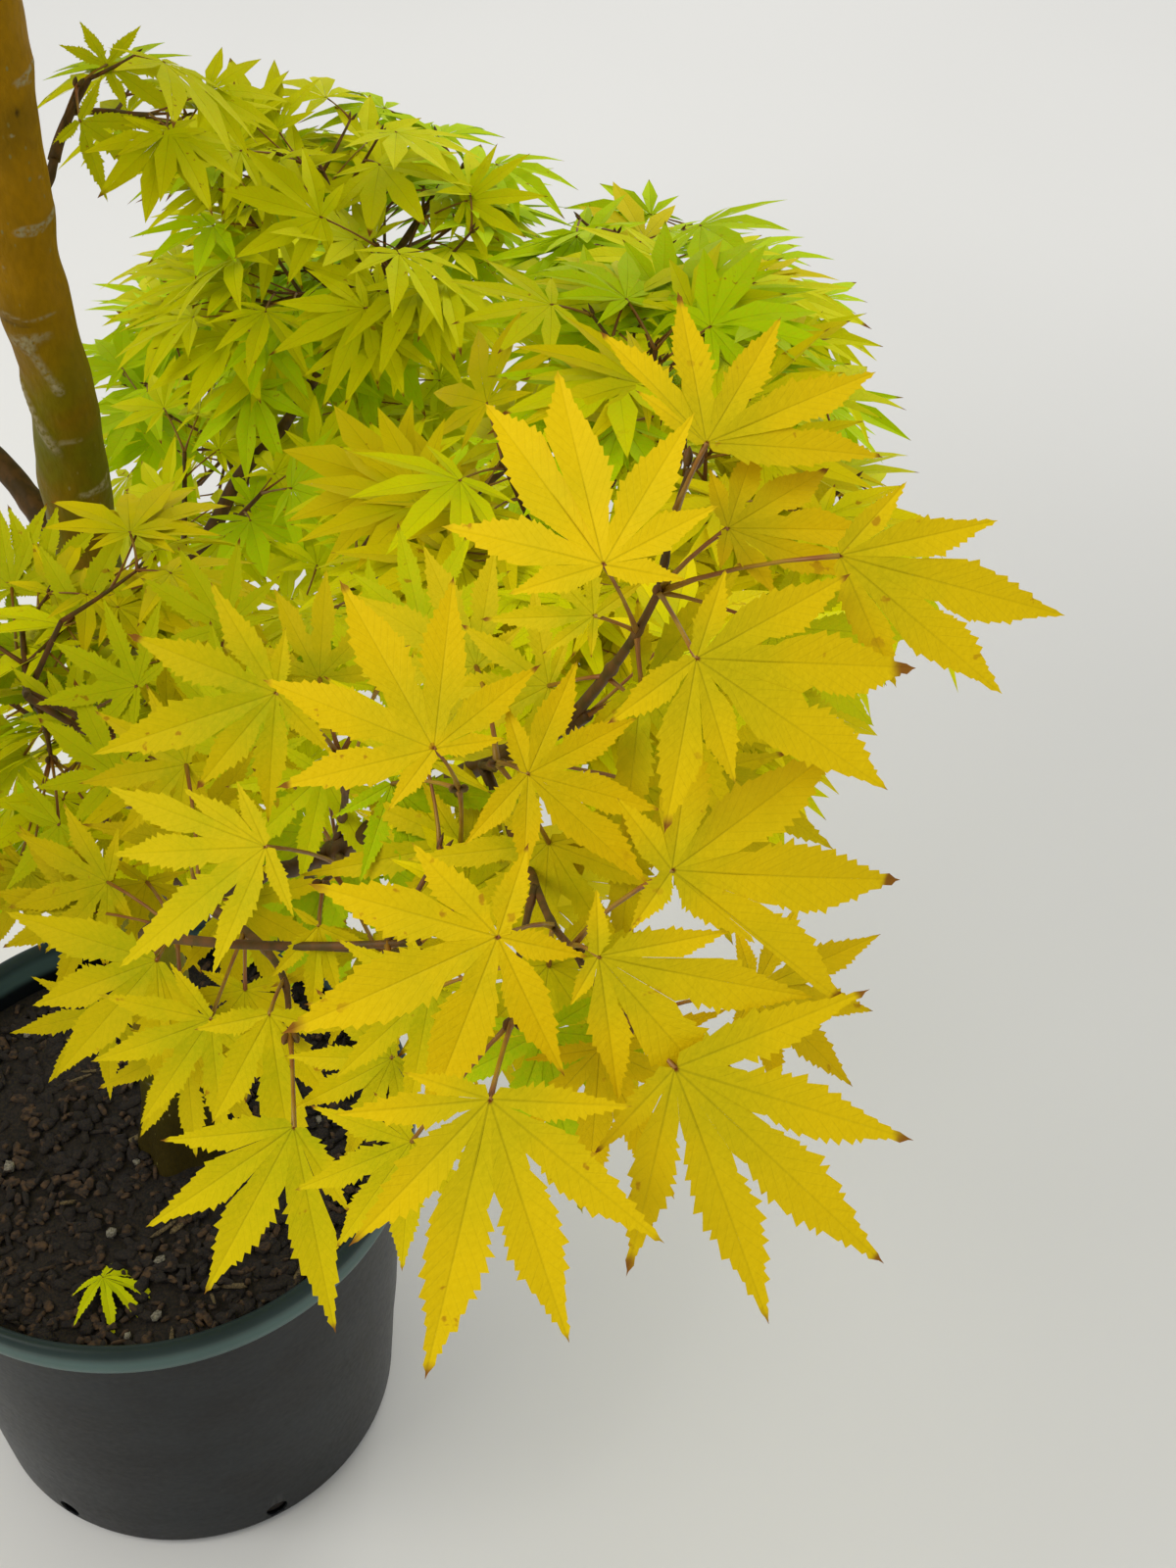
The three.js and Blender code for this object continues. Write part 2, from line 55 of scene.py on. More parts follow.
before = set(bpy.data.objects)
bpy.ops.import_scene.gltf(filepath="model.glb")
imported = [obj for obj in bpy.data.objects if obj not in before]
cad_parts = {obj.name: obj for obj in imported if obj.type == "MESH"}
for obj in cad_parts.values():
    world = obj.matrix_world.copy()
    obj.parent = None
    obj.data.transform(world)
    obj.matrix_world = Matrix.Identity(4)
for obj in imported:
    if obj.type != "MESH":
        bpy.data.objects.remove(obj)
CAD_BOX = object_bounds()
MM = 0.001
UP = np.array([0.0, 0.0, 1.0])
FRONT = np.array([0.0, -1.0, 0.0])
GOLDEN_ANGLE = np.pi * (3 - np.sqrt(5))

# The source's own sizes for the pot, the trunk, the boughs and the foliage's round spaces.
POT_HEIGHT = 300
POT_RIM_RADIUS = 175
POT_MOUTH_RADIUS = 168
POT_FOOT_RADIUS = 142
POT_WALL = 3
RIM_BAND_HEIGHT = 24
WALL_SLOPE = (POT_MOUTH_RADIUS - POT_FOOT_RADIUS) / (POT_HEIGHT - RIM_BAND_HEIGHT)
DRAIN_COUNT = 6
DRAIN_HEIGHT = 17
DRAIN_RADIUS = 8
MIX_TOP = 268
CLEARANCE = 0.35
TRUNK_BASE = np.array([22.0, 4.0, MIX_TOP])
TRUNK_ROOTED = 20
TRUNK_FORK_HEIGHT = 1180
TRUNK_RISE = TRUNK_FORK_HEIGHT - MIX_TOP + TRUNK_ROOTED
# [height, how far right of the foot, how far behind it]
TRUNK_LEAN = [
    [0, 0, 0], [160, 4, 0], [380, 11, 1], [530, 13, 1], [605, 15, 1],
    [655, 10, 1], [705, 12, 1], [790, 15, 2], [912, 13, 3],
]  # fmt: skip
# [name, root, heading, reach, height, root radius, tip radius, arch]
BOUGHS = [
    ["front_bough", 520, -63, 384, 912, 8.5, 4.4, -0.03],
    ["front_upper_bough", "front_bough", -59, 502, 1062, 4, 2.8, 0.02],
    ["front_side_bough", "front_bough", -71, 420, 950, 3.4, 2.6, 0.02],
    ["front_left_bough", 585, -112, 400, 965, 7.5, 3.2, -0.04],
    ["inner_front_bough", 610, -84, 140, 795, 4.5, 2.6, -0.02],
    ["right_front_bough", 640, -30, 265, 872, 6.5, 2.8, 0.03],
    ["right_bough", 560, 23, 270, 770, 6.5, 2.8, 0.06],
    ["back_right_bough", 670, 45, 165, 785, 5.5, 2.6, 0.04],
    ["low_back_bough", 430, 72, 165, 620, 6, 2.6, 0.03],
    ["back_left_bough", 720, 132, 370, 1035, 7, 3, -0.03],
    ["left_bough", 655, -171, 400, 1000, 7.5, 3.2, -0.04],
    ["spur_bough", 930, 66, 50, 962, 3, 2.2, 0.05],
    ["mid_right_bough", 1105, 12, 330, 1215, 6.5, 2.8, -0.02],
    ["mid_back_bough", 1085, 80, 345, 1160, 6.5, 2.8, 0.04],
    ["leader_bough", 1180, 175, 30, 1545, 10, 3.4, 0.02],
    ["upper_right_bough", 1155, 18, 245, 1420, 7, 3, -0.05],
    ["upper_back_bough", 1130, 98, 275, 1395, 7, 3, -0.05],
    ["upper_left_bough", 1010, 168, 310, 1350, 7.5, 3, -0.05],
    ["upper_front_left_bough", 1035, -122, 270, 1345, 7, 3, -0.05],
    ["upper_front_right_bough", 1168, -56, 240, 1405, 6.5, 3, -0.06],
]
ZIGZAG_SHARE = 0.012
# [name, bough, heading, reach, height, half-width, half-height, twigs]
MASSES = [
    ["front_foliage", "front_upper_bough", -62, 580, 1120, 155, 150, 8],
    ["front_side_foliage", "front_side_bough", -73, 478, 995, 150, 125, 7],
    ["front_left_foliage", "front_left_bough", -113, 480, 1005, 190, 140, 8],
    ["inner_front_foliage", "inner_front_bough", -81, 192, 840, 120, 95, 6],
    ["right_front_foliage", "right_front_bough", -30, 335, 915, 145, 110, 6],
    ["right_foliage", "right_bough", 24, 345, 815, 145, 105, 6],
    ["back_right_foliage", "back_right_bough", 49, 245, 822, 145, 105, 6],
    ["low_back_foliage", "low_back_bough", 73, 250, 665, 160, 110, 6],
    ["back_left_foliage", "back_left_bough", 132, 450, 1080, 195, 140, 8],
    ["left_foliage", "left_bough", -171, 480, 1040, 195, 140, 8],
    ["spur_foliage", "spur_bough", 65, 98, 982, 85, 65, 4],
    ["mid_right_foliage", "mid_right_bough", 14, 405, 1245, 180, 120, 7],
    ["mid_back_foliage", "mid_back_bough", 78, 425, 1185, 185, 125, 7],
    ["top_foliage", "leader_bough", 170, 35, 1620, 190, 160, 8],
    ["upper_right_foliage", "upper_right_bough", 18, 320, 1475, 190, 140, 7],
    ["upper_back_foliage", "upper_back_bough", 98, 350, 1440, 190, 140, 7],
    ["upper_left_foliage", "upper_left_bough", 168, 385, 1400, 195, 145, 8],
    ["upper_front_left_foliage", "upper_front_left_bough", -122, 345, 1395, 190, 140, 8],
    ["upper_front_right_foliage", "upper_front_right_bough", -56, 300, 1460, 180, 130, 7],
]
FRONT_MASSES = ("front_foliage", "front_side_foliage")
# A point is a mass's own where it lies at most this share as far out as in any other mass.
OWN_SHARE = 0.95
# First twigs end this far out in their mass, leave the stem near this angle, in degrees, and don't
# run back along the stem's way in, or straight on, past this cosine.
TWIG_REACH = 0.62
TWIG_ANGLE = 50
BACKWARD_LIMIT = 0.85
# The joints along a mass's stem, as their count and the shares of its length that they span.
STEM_JOINTS = 8
FIRST_JOINT = 0.2
LAST_JOINT = 0.92
# How much of its rise a crown leaf keeps, and how far it droops.
LEVEL_SHARE = 0.5
LEAF_DROOP = 0.1
SEED = 71

# The camera, from the fit of the pot's rim and the trunk's sides in the photograph.
CAMERA_AT = np.array([287.0, -910.0, 1529.0])
CAMERA_PITCH = np.radians(45.43)
CAMERA_FOCUS = 2400
CAMERA_AHEAD = np.array([0, np.cos(CAMERA_PITCH), -np.sin(CAMERA_PITCH)])
CAMERA_UP = np.array([0, np.sin(CAMERA_PITCH), np.cos(CAMERA_PITCH)])
CAMERA_RIGHT = np.array([1.0, 0, 0])
PHOTO_SIZE = (1200, 1600)

# What the foliage covers in the photograph, as corners in its pixels. Elsewhere it is open.
FOLIAGE_IN_PHOTO = [
    (38, 20), (150, 25), (185, 85), (270, 70), (350, 90), (500, 110), (530, 165), (610, 210),
    (760, 205), (850, 270), (880, 330), (880, 470), (940, 500), (960, 560), (930, 690), (890, 760),
    (840, 800), (830, 1000), (800, 1180), (640, 1240), (560, 1290), (420, 1310), (300, 1280),
    (230, 1240), (190, 1150), (130, 1080), (20, 990), (-60, 930), (-220, 900), (-220, 600),
    (60, 575), (100, 540), (95, 420), (70, 260), (48, 180), (45, 60),
]  # fmt: skip
# How far ahead of the camera the nearest leaves lie in parts of the picture, as [left, top, right,
# bottom, distance]: nothing of the crown lies before them there. Elsewhere it is NEAR_DEPTH.
NEAR_DEPTH = 655
NEAR_ZONES = [(-220, 640, 365, 1600, 775), (-220, 560, 150, 900, 980)]
# How many pixels beyond the left edge, and beyond the other edges, the crown is held to this too.
LEFT_ROOM = 130
EDGE_ROOM = 15

# Twigs that carry the nearest leaves: [radius at the start, radius at the end], then points as
# [pixel across, pixel down, distance ahead of the camera].
NEAR_TWIGS = [
    [(1.9, 1.0), (577, 740, 672), (618, 690, 640), (650, 645, 602), (672, 604, 585)],
    [(1.0, 0.75), (672, 604, 585), (690, 520, 578), (704, 478, 574)],
    [(1.8, 0.95), (492, 779, 726), (532, 868, 680), (565, 945, 622), (583, 967, 606)],
    [(0.95, 0.75), (583, 967, 606), (612, 1010, 596), (640, 1040, 590)],
    [(1.4, 0.85), (491, 780, 727), (505, 783, 680), (507, 779, 632)],
    [(1.4, 0.85), (446, 805, 749), (466, 810, 700), (468, 805, 642)],
    [(1.8, 0.9), (345, 872, 839), (349, 880, 780), (348, 884, 728), (330, 900, 705)],
    [(1.7, 0.9), (341, 868, 841), (352, 815, 780), (347, 772, 728)],
    [(1.8, 0.8), (203, 918, 776), (250, 950, 765), (290, 1000, 716), (296, 1055, 690)],
    [(1.4, 0.8), (203, 918, 775), (196, 930, 785), (180, 950, 790)],
    [(1.8, 0.9), (37, 717, 1066), (46, 740, 1035), (52, 772, 1012)],
    [(1.1, 0.75), (545, 905, 650), (528, 985, 618), (524, 1040, 596)],
    [(1.0, 0.65), (55, 163, 1077), (66, 120, 1080), (78, 88, 1084)],
]
# The nearest leaves: [pixel of the blade's base, distance, tip away, right side away, tint, pixel
# and distance of the joint], then the pixels of its lobes' tips, and how broad its lobes are.
NEAR_LEAVES = [
    [721, 452, 560, 12, -8, "gold", 690, 520, 578,
     [(650, 396), (615, 330), (694, 293), (801, 318), (899, 374), (909, 459)], 1.2],
    [616, 576, 545, 8, 6, "gold", 650, 645, 602,
     [(518, 606), (446, 532), (487, 398), (566, 371), (708, 417), (733, 514), (700, 591)], 1.2],
    [743, 539, 566, 14, 10, "gold", 672, 604, 585,
     [(735, 582), (724, 477), (774, 446), (849, 475), (892, 540), (874, 587), (793, 608)], 1.3],
    [857, 567, 548, 10, -6, "gold", 672, 604, 585,
     [(926, 491), (1020, 531), (1096, 630), (1028, 710), (917, 703)], 1.2],
    [711, 672, 535, 12, 4, "gold", 672, 604, 585,
     [(741, 580), (872, 585), (940, 682), (909, 807), (752, 800), (681, 852), (620, 739)], 1.3],
    [539, 790, 596, 10, 12, "gold", 507, 779, 632,
     [(474, 862), (515, 716), (591, 671), (652, 731), (675, 826), (665, 902), (535, 897)], 1.25],
    [443, 764, 592, 8, -10, "gold", 468, 805, 642,
     [(396, 827), (281, 802), (267, 691), (346, 589), (463, 585), (553, 675), (516, 753)], 1.15],
    [508, 956, 572, 6, 8, "gold", 565, 945, 622,
     [(539, 861), (419, 861), (313, 903), (283, 1061), (431, 1155), (576, 1101), (600, 977)], 1.15],
    [611, 976, 556, 12, -6, "gold", 583, 967, 606,
     [(582, 1027), (633, 1129), (770, 1157), (835, 1025), (748, 950), (609, 907)], 1.2],
    [500, 1122, 540, 8, 5, "gold", 524, 1040, 596,
     [(412, 1095), (340, 1139), (355, 1275), (433, 1422), (582, 1379), (679, 1272), (646, 1130)]],
    [689, 1090, 560, 10, 10, "gold", 640, 1040, 590,
     [(606, 1180), (643, 1307), (791, 1357), (910, 1295), (935, 1165), (890, 1010)]],
    [686, 888, 552, 10, -10, "gold", 583, 967, 606,
     [(642, 952), (630, 814), (711, 724), (868, 757), (929, 904), (870, 1030), (772, 964)], 1.25],
    [606, 628, 598, 12, 8, "yellow", 650, 645, 602,
     [(552, 668), (488, 632), (540, 560), (600, 540), (660, 590), (603, 672)]],
    [282, 707, 700, 10, 6, "yellow", 347, 772, 728,
     [(291, 640), (211, 594), (127, 647), (89, 772), (196, 808), (270, 842), (340, 771)]],
    [271, 864, 682, 10, -8, "yellow", 348, 884, 728,
     [(240, 796), (186, 804), (104, 802), (110, 871), (112, 987), (213, 995), (299, 936)], 1.1],
    [160, 980, 756, 6, 2, "yellow", 180, 950, 790,
     [(2, 932), (32, 1027), (55, 1100), (167, 1130), (218, 1128)], 1.25],
    [275, 1035, 690, 10, -6, "yellow", 290, 1000, 716,
     [(197, 1052), (213, 1150), (300, 1222), (340, 1128), (352, 1052)], 1.2],
    [300, 1150, 650, 8, 8, "yellow", 296, 1055, 690,
     [(162, 1167), (146, 1260), (207, 1327), (342, 1367), (358, 1240)]],
    [325, 945, 690, 16, 0, "yellow", 330, 900, 705,
     [(275, 1000), (317, 1044), (347, 1022), (391, 976), (296, 925)]],
    [82, 628, 1045, 8, 4, "lime", 37, 717, 1066,
     [(0, 627), (35, 552), (129, 523), (158, 619), (20, 662)]],
    [73, 736, 1004, 8, -4, "lime", 46, 740, 1035,
     [(17, 733), (8, 677), (46, 681), (79, 658), (127, 654), (140, 733)]],
    [60, 842, 985, 8, 4, "lime", 52, 772, 1012,
     [(15, 788), (2, 819), (2, 912), (60, 920), (112, 885)]],
    [109, 66, 1092, 10, 6, "lime", 78, 88, 1084,
     [(59, 44), (81, 20), (144, 23), (200, 72), (188, 119), (130, 113)]],
    [82, 124, 1076, 10, -6, "lime", 78, 88, 1084,
     [(50, 152), (104, 78), (166, 124), (176, 188), (109, 206)]],
]  # fmt: skip
# Leaves that fill in behind those, by their middle lobe's direction and length in pixels instead
# of their lobes' tips.
FILL_LEAVES = [
    [655, 700, 612, 8, 4, "yellow", 650, 645, 602, (-22, 215)],
    [486, 680, 668, 12, 4, "yellow", 507, 779, 632, (152, 150)],
    [400, 800, 690, 10, 4, "green", 468, 805, 642, (-40, 150)],
    [556, 1052, 615, 8, -4, "green", 528, 985, 618, (-78, 190)],
    [420, 1165, 612, 8, 4, "yellow", 524, 1040, 596, (-125, 150)],
    [326, 692, 735, 10, 0, "yellow", 347, 772, 728, (84, 108)],
    [612, 1070, 600, 10, 4, "gold", 612, 1010, 596, (-62, 175)],
    [560, 700, 655, 12, 6, "yellow", 618, 690, 640, (175, 130)],
    [790, 640, 585, 14, 4, "lime", 672, 604, 585, (-42, 170)],
    [770, 1010, 600, 12, 8, "gold", 640, 1040, 590, (-8, 150)],
    [440, 1010, 640, 12, 4, "yellow", 528, 985, 618, (-140, 150)],
    [215, 1040, 735, 10, 6, "yellow", 250, 950, 765, (-120, 150)],
    [190, 780, 800, 12, 6, "yellow", 203, 918, 775, (-175, 130)],
    [655, 800, 668, 8, 6, "yellow", 507, 779, 632, (-64, 200)],
    [560, 860, 664, 8, -6, "yellow", 507, 779, 632, (-96, 180)],
    [470, 860, 690, 8, 6, "yellow", 468, 805, 642, (-130, 170)],
    [560, 985, 650, 8, 4, "yellow", 565, 945, 622, (-60, 200)],
    [140, 700, 960, 10, 6, "lime", 83, 732, 983, (150, 110)],
    [190, 860, 830, 12, -6, "yellow", 203, 918, 776, (95, 130)],
    [110, 900, 800, 10, 6, "yellow", 180, 950, 790, (-170, 120)],
    [230, 640, 960, 8, 4, "lime", 208, 743, 978, (120, 105)],
    [385, 700, 800, 10, -6, "lime", 351, 821, 787, (60, 130)],
    [330, 790, 800, 10, 4, "lime", 345, 872, 839, (-100, 130)],
    [240, 920, 800, 8, 6, "yellow", 203, 918, 776, (-60, 130)],
    [190, 1065, 780, 6, 4, "yellow", 180, 950, 790, (-84, 125)],
    [110, 1030, 790, 6, 4, "yellow", 180, 950, 790, (-130, 110)],
    [380, 960, 720, 10, 4, "yellow", 341, 890, 718, (-80, 140)],
    [60, 700, 1070, 10, 4, "green", 46, 740, 1035, (120, 100)],
    [120, 790, 960, 10, 4, "lime", 83, 732, 983, (150, 110)],
    [400, 1080, 660, 10, 4, "yellow", 395, 960, 681, (-150, 130)],
    [700, 760, 640, 8, 6, "yellow", 618, 690, 640, (-30, 190)],
    [430, 640, 760, 10, 6, "lime", 347, 772, 728, (70, 120)],
    [40, 600, 1080, 6, 4, "lime", 37, 717, 1066, (80, 95)],
    [25, 770, 1060, 6, 4, "lime", 46, 740, 1035, (-160, 95)],
    [110, 850, 1010, 6, 4, "yellow", 52, 772, 1012, (-50, 100)],
    [20, 880, 1000, 6, 4, "yellow", 52, 772, 1012, (-120, 95)],
    [150, 650, 1040, 6, 4, "lime", 46, 740, 1035, (50, 100)],
    [95, 930, 805, 6, 4, "yellow", 180, 950, 790, (170, 120)],
    [275, 770, 860, 8, 4, "lime", 345, 872, 839, (140, 120)],
    [320, 850, 860, 8, 4, "green", 345, 872, 839, (-150, 120)],
    [150, 900, 830, 8, 4, "yellow", 180, 950, 790, (-100, 110)],
    [250, 1010, 770, 8, 4, "yellow", 250, 950, 765, (-95, 120)],
    [235, 740, 950, 8, 4, "lime", 199, 746, 977, (100, 105)],
    [360, 860, 880, 8, 4, "green", 345, 872, 839, (-70, 140)],
    [332, 900, 885, 8, 4, "green", 345, 872, 839, (-112, 130)],
    [300, 905, 890, 8, 4, "lime", 345, 872, 839, (-155, 120)],
    [12, 600, 1080, 6, 4, "lime", 18, 672, 1059, (100, 95)],
    [20, 660, 1090, 6, 4, "green", 37, 717, 1066, (175, 95)],
    [30, 890, 1000, 6, 4, "yellow", 52, 772, 1012, (-120, 95)],
]


# Meshes


def part(points, quads=(), triangles=(), uv=None, tone=0.0, slot=0):
    """Points, faces and what the materials read of them, as arrays that can be gathered."""
    points = np.asarray(points, float).reshape(-1, 3)
    count = len(points)
    faces = len(quads) + len(triangles)
    return {
        "points": points,
        "quads": np.asarray(quads, int).reshape(-1, 4),
        "triangles": np.asarray(triangles, int).reshape(-1, 3),
        "uv": np.zeros((count, 2)) if uv is None else np.asarray(uv, float).reshape(-1, 2),
        "tone": np.broadcast_to(np.asarray(tone, float).reshape(-1), (count,)).copy(),
        "slot": np.full(faces, slot),
    }


def gather(parts):
    """Several parts as one: each one's faces count on from the points before it."""
    starts = np.cumsum([0] + [len(p["points"]) for p in parts[:-1]])
    quad_slots = [p["slot"][: len(p["quads"])] for p in parts]
    triangle_slots = [p["slot"][len(p["quads"]) :] for p in parts]
    return {
        "points": np.concatenate([p["points"] for p in parts]),
        "quads": np.concatenate([p["quads"] + s for p, s in zip(parts, starts)]),
        "triangles": np.concatenate([p["triangles"] + s for p, s in zip(parts, starts)]),
        "uv": np.concatenate([p["uv"] for p in parts]),
        "tone": np.concatenate([p["tone"] for p in parts]),
        "slot": np.concatenate(quad_slots + triangle_slots),
    }


def make_piece(name, shape, materials, stands_for=(), smooth=True):
    """Puts gathered arrays into a mesh that rides on the plant. Its points are in the plant's own
    frame, so the object itself stays at the origin."""
    mesh = bpy.data.meshes.new(name)
    quads, triangles = shape["quads"], shape["triangles"]
    corners = np.concatenate([quads.ravel(), triangles.ravel()])
    sizes = np.concatenate([np.full(len(quads), 4), np.full(len(triangles), 3)])
    mesh.vertices.add(len(shape["points"]))
    mesh.vertices.foreach_set("co", (shape["points"] * MM).astype(np.float32).ravel())
    mesh.loops.add(len(corners))
    mesh.loops.foreach_set("vertex_index", corners.astype(np.int32))
    mesh.polygons.add(len(sizes))
    mesh.polygons.foreach_set("loop_start", (np.cumsum(sizes) - sizes).astype(np.int32))
    mesh.polygons.foreach_set("material_index", shape["slot"].astype(np.int32))
    mesh.polygons.foreach_set("use_smooth", np.full(len(sizes), smooth))
    mesh.uv_layers.new(name="shape").uv.foreach_set(
        "vector", shape["uv"][corners].astype(np.float32).ravel()
    )
    mesh.attributes.new("tone", "FLOAT", "POINT").data.foreach_set(
        "value", shape["tone"].astype(np.float32)
    )
    mesh.update(calc_edges=True)
    for material in materials:
        mesh.materials.append(material)
    piece = bpy.data.objects.new(name, mesh)
    bpy.context.scene.collection.objects.link(piece)
    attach(piece, "root")
    if stands_for:
        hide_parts(*stands_for)
    return piece


def closed_rows(rows, turns):
    """Quads of a grid of rows and turns whose last turn meets its first."""
    row, turn = np.meshgrid(np.arange(rows - 1), np.arange(turns), indexing="ij")
    near, beside = row * turns + turn, row * turns + (turn + 1) % turns
    return np.stack([near, beside, beside + turns, near + turns], -1).reshape(-1, 4)


def closing_fans(rows, turns):
    """Triangles that close such a grid's first and last rows, from the two points after it."""
    step = np.arange(turns)
    beside, count, last_row = (step + 1) % turns, rows * turns, (rows - 1) * turns
    first = np.stack([np.full(turns, count), beside, step], -1)
    last = np.stack([np.full(turns, count + 1), last_row + step, last_row + beside], -1)
    return np.concatenate([first, last])


def for_each(faces, count, each):
    """One shape's faces for every copy of it, each copy having that many points."""
    starts = (np.arange(count) * each)[:, None, None]
    return (faces[None] + starts).reshape(-1, faces.shape[1])


def turned(profile, turns):
    """A profile of [radius, height] turned about the upright axis: at turn a a point is
    (radius cos a, radius sin a, height). It closes on itself, from a pole on the axis to another."""
    angle = np.arange(turns) * 2 * np.pi / turns
    radius, height = np.asarray(profile, float).T[:, 1:-1, None]
    rows = np.stack([radius * np.cos(angle), radius * np.sin(angle), height + 0 * angle], -1)
    poles = [[0, 0, profile[0][1]], [0, 0, profile[-1][1]]]
    points = np.concatenate([rows.reshape(-1, 3), poles])
    return part(points, closed_rows(len(rows), turns), closing_fans(len(rows), turns))


def unit(vectors):
    """Each vector at length 1."""
    return vectors / np.maximum(np.linalg.norm(vectors, axis=-1, keepdims=True), 1e-9)


def along_at(line, shares):
    """Points of a line of equal steps at shares of its length, read off straight between steps."""
    steps = np.linspace(0, 1, len(line))
    return np.stack([np.interp(shares, steps, line[:, k]) for k in range(3)], -1)


def heading_at(line, share, back=0.02, on=0.02):
    """A line's direction at a share of its length, from a little before it to a little past it."""
    return unit(along_at(line, share + on) - along_at(line, share - back))


def limbs(lines, radii, sides, tone=0.0):
    """Round limbs along many lines at once. At turn a a point is the line's own plus radius times
    (cos a across + sin a above), square to the line, and a fan closes each end."""
    lines, radii = np.asarray(lines, float), np.asarray(radii, float)
    count, steps, _ = lines.shape
    radii = radii[..., None] if radii.ndim == 2 else radii
    ahead = unit(np.gradient(lines, axis=1))
    chord = unit(lines[:, -1] - lines[:, 0])
    over = np.where(np.abs(chord[:, 2:]) > 0.9, FRONT, UP)[:, None]
    across = unit(np.cross(over, ahead))
    above = np.cross(ahead, across)
    angle = (np.arange(sides) * 2 * np.pi / sides)[:, None]
    ring = across[:, :, None] * np.cos(angle) + above[:, :, None] * np.sin(angle)
    rings = lines[:, :, None] + ring * radii[..., None]
    each = steps * sides + 2
    return part(
        np.concatenate([rings.reshape(count, -1, 3), lines[:, [0, -1]]], axis=1),
        for_each(closed_rows(steps, sides), count, each),
        for_each(closing_fans(steps, sides), count, each),
        tone=np.repeat(np.broadcast_to(tone, (count,)), each),
    )


# Growth: the source's rule


def first_number(seed):
    """The first number of the source's seeded stream, which turns a mass's twigs."""
    keep = 0xFFFFFFFF
    state = (seed + 0x6D2B79F5) & keep
    t = ((state ^ (state >> 15)) * (state | 1)) & keep
    t ^= (t + (((t ^ (t >> 7)) * (t | 61)) & keep)) & keep
    return ((t ^ (t >> 14)) & keep) / 4294967296


def smooth_line(points, steps):
    """A centripetal Catmull-Rom line through points, at equal steps of its length."""
    points = np.asarray(points, float)
    ends = [2 * points[0] - points[1], 2 * points[-1] - points[-2]]
    run = np.concatenate([ends[:1], points, ends[1:]])
    a, b, c, d = (run[k : k + len(points) - 1, None] for k in range(4))
    before, between, after = (
        np.sqrt(np.linalg.norm(q - p, axis=-1, keepdims=True)) for p, q in ((a, b), (b, c), (c, d))
    )
    leave = between * ((b - a) / before - (c - a) / (before + between) + (c - b) / between)
    arrive = between * ((c - b) / between - (d - b) / (between + after) + (d - c) / after)
    t = np.linspace(0, 1, 40, endpoint=False)[None, :, None]
    curve = (
        b
        + leave * t
        + (3 * (c - b) - 2 * leave - arrive) * t**2
        + (2 * (b - c) + leave + arrive) * t**3
    )
    fine = np.concatenate([curve.reshape(-1, 3), points[-1:]])
    length = np.concatenate([[0], np.cumsum(np.linalg.norm(np.diff(fine, axis=0), axis=1))])
    wanted = np.linspace(0, length[-1], steps)
    return np.stack([np.interp(wanted, length, fine[:, k]) for k in range(3)], -1)


def place_at(heading, reach, height):
    """A point at a heading and reach from the trunk's foot, at a height above the ground."""
    angle = np.radians(heading)
    x, y = TRUNK_BASE[0] + reach * np.cos(angle), TRUNK_BASE[1] + reach * np.sin(angle)
    return np.array([x, y, height])


def trunk_line(steps):
    """The trunk's middle, from a little below the mix to the fork."""
    lean = [TRUNK_BASE + [x, y, height] for height, x, y in TRUNK_LEAN]
    return smooth_line([TRUNK_BASE - TRUNK_ROOTED * UP, *lean], steps)


def past_tip(line):
    """Where the next limb starts beyond a limb's flat end."""
    return line[-1] + unit(line[-1] - line[-2]) * CLEARANCE


def bough_lines(steps):
    """Each bough's middle: an arch between its ends, with a small zigzag at its joints."""
    trunk = trunk_line(400)
    lines = {}
    for name, root, heading, reach, height, _, _, arch in BOUGHS:
        if isinstance(root, str):
            start = past_tip(lines[root])
        else:
            start = along_at(trunk, (root - MIX_TOP + TRUNK_ROOTED) / TRUNK_RISE)
            start = start + UP * (CLEARANCE if root == TRUNK_FORK_HEIGHT else 0)
        end = place_at(heading, reach, height)
        span = np.linalg.norm(end - start)
        side = unit(np.cross(end - start, UP))
        share = np.arange(7)[:, None] / 6
        zigzag = np.where(np.arange(7) % 2, ZIGZAG_SHARE, -ZIGZAG_SHARE)[:, None]
        inside = (share > 0) & (share < 1)
        bow = 4 * share * (1 - share) * arch * span
        points = start + (end - start) * share + UP * bow + side * (zigzag * inside) * span
        lines[name] = smooth_line(points, steps)
    return lines


def share_out(points, mass):
    """How far points lie from a mass's middle, 1 being the edge of its round space."""
    _, _, heading, reach, height, wide, deep, _ = mass
    away = (points - place_at(heading, reach, height)) / [wide, wide, deep]
    return np.linalg.norm(away, axis=-1)


def in_own_space(points, mass, edge=1.0):
    """True where points lie inside a mass and are nearest to it."""
    own = share_out(points, mass)
    others = np.min([share_out(points, other) for other in MASSES if other is not mass], axis=0)
    return (own <= edge) & (own < OWN_SHARE * others)


def inside_box(points, room=6):
    """True if all the points keep to the source's own box, with a little room."""
    low, high = (np.array(corner) / MM for corner in CAD_BOX)
    return ((points > low - room) & (points < high + room)).all()


def even_directions(count, turn):
    """Directions spread evenly over a ball, by the golden angle."""
    i = np.arange(count)
    z = 1 - (2 * i + 1) / count
    angle = i * GOLDEN_ANGLE + turn
    level = np.sqrt(1 - z * z)
    return np.stack([np.cos(angle) * level, np.sin(angle) * level, z], -1)


def lean_from(line, share, end):
    """Degrees between a line at a share of its length and the way from there to a point."""
    cosine = unit(end - along_at(line, share)) @ heading_at(line, share)
    return np.degrees(np.arccos(np.clip(cosine, -1, 1)))


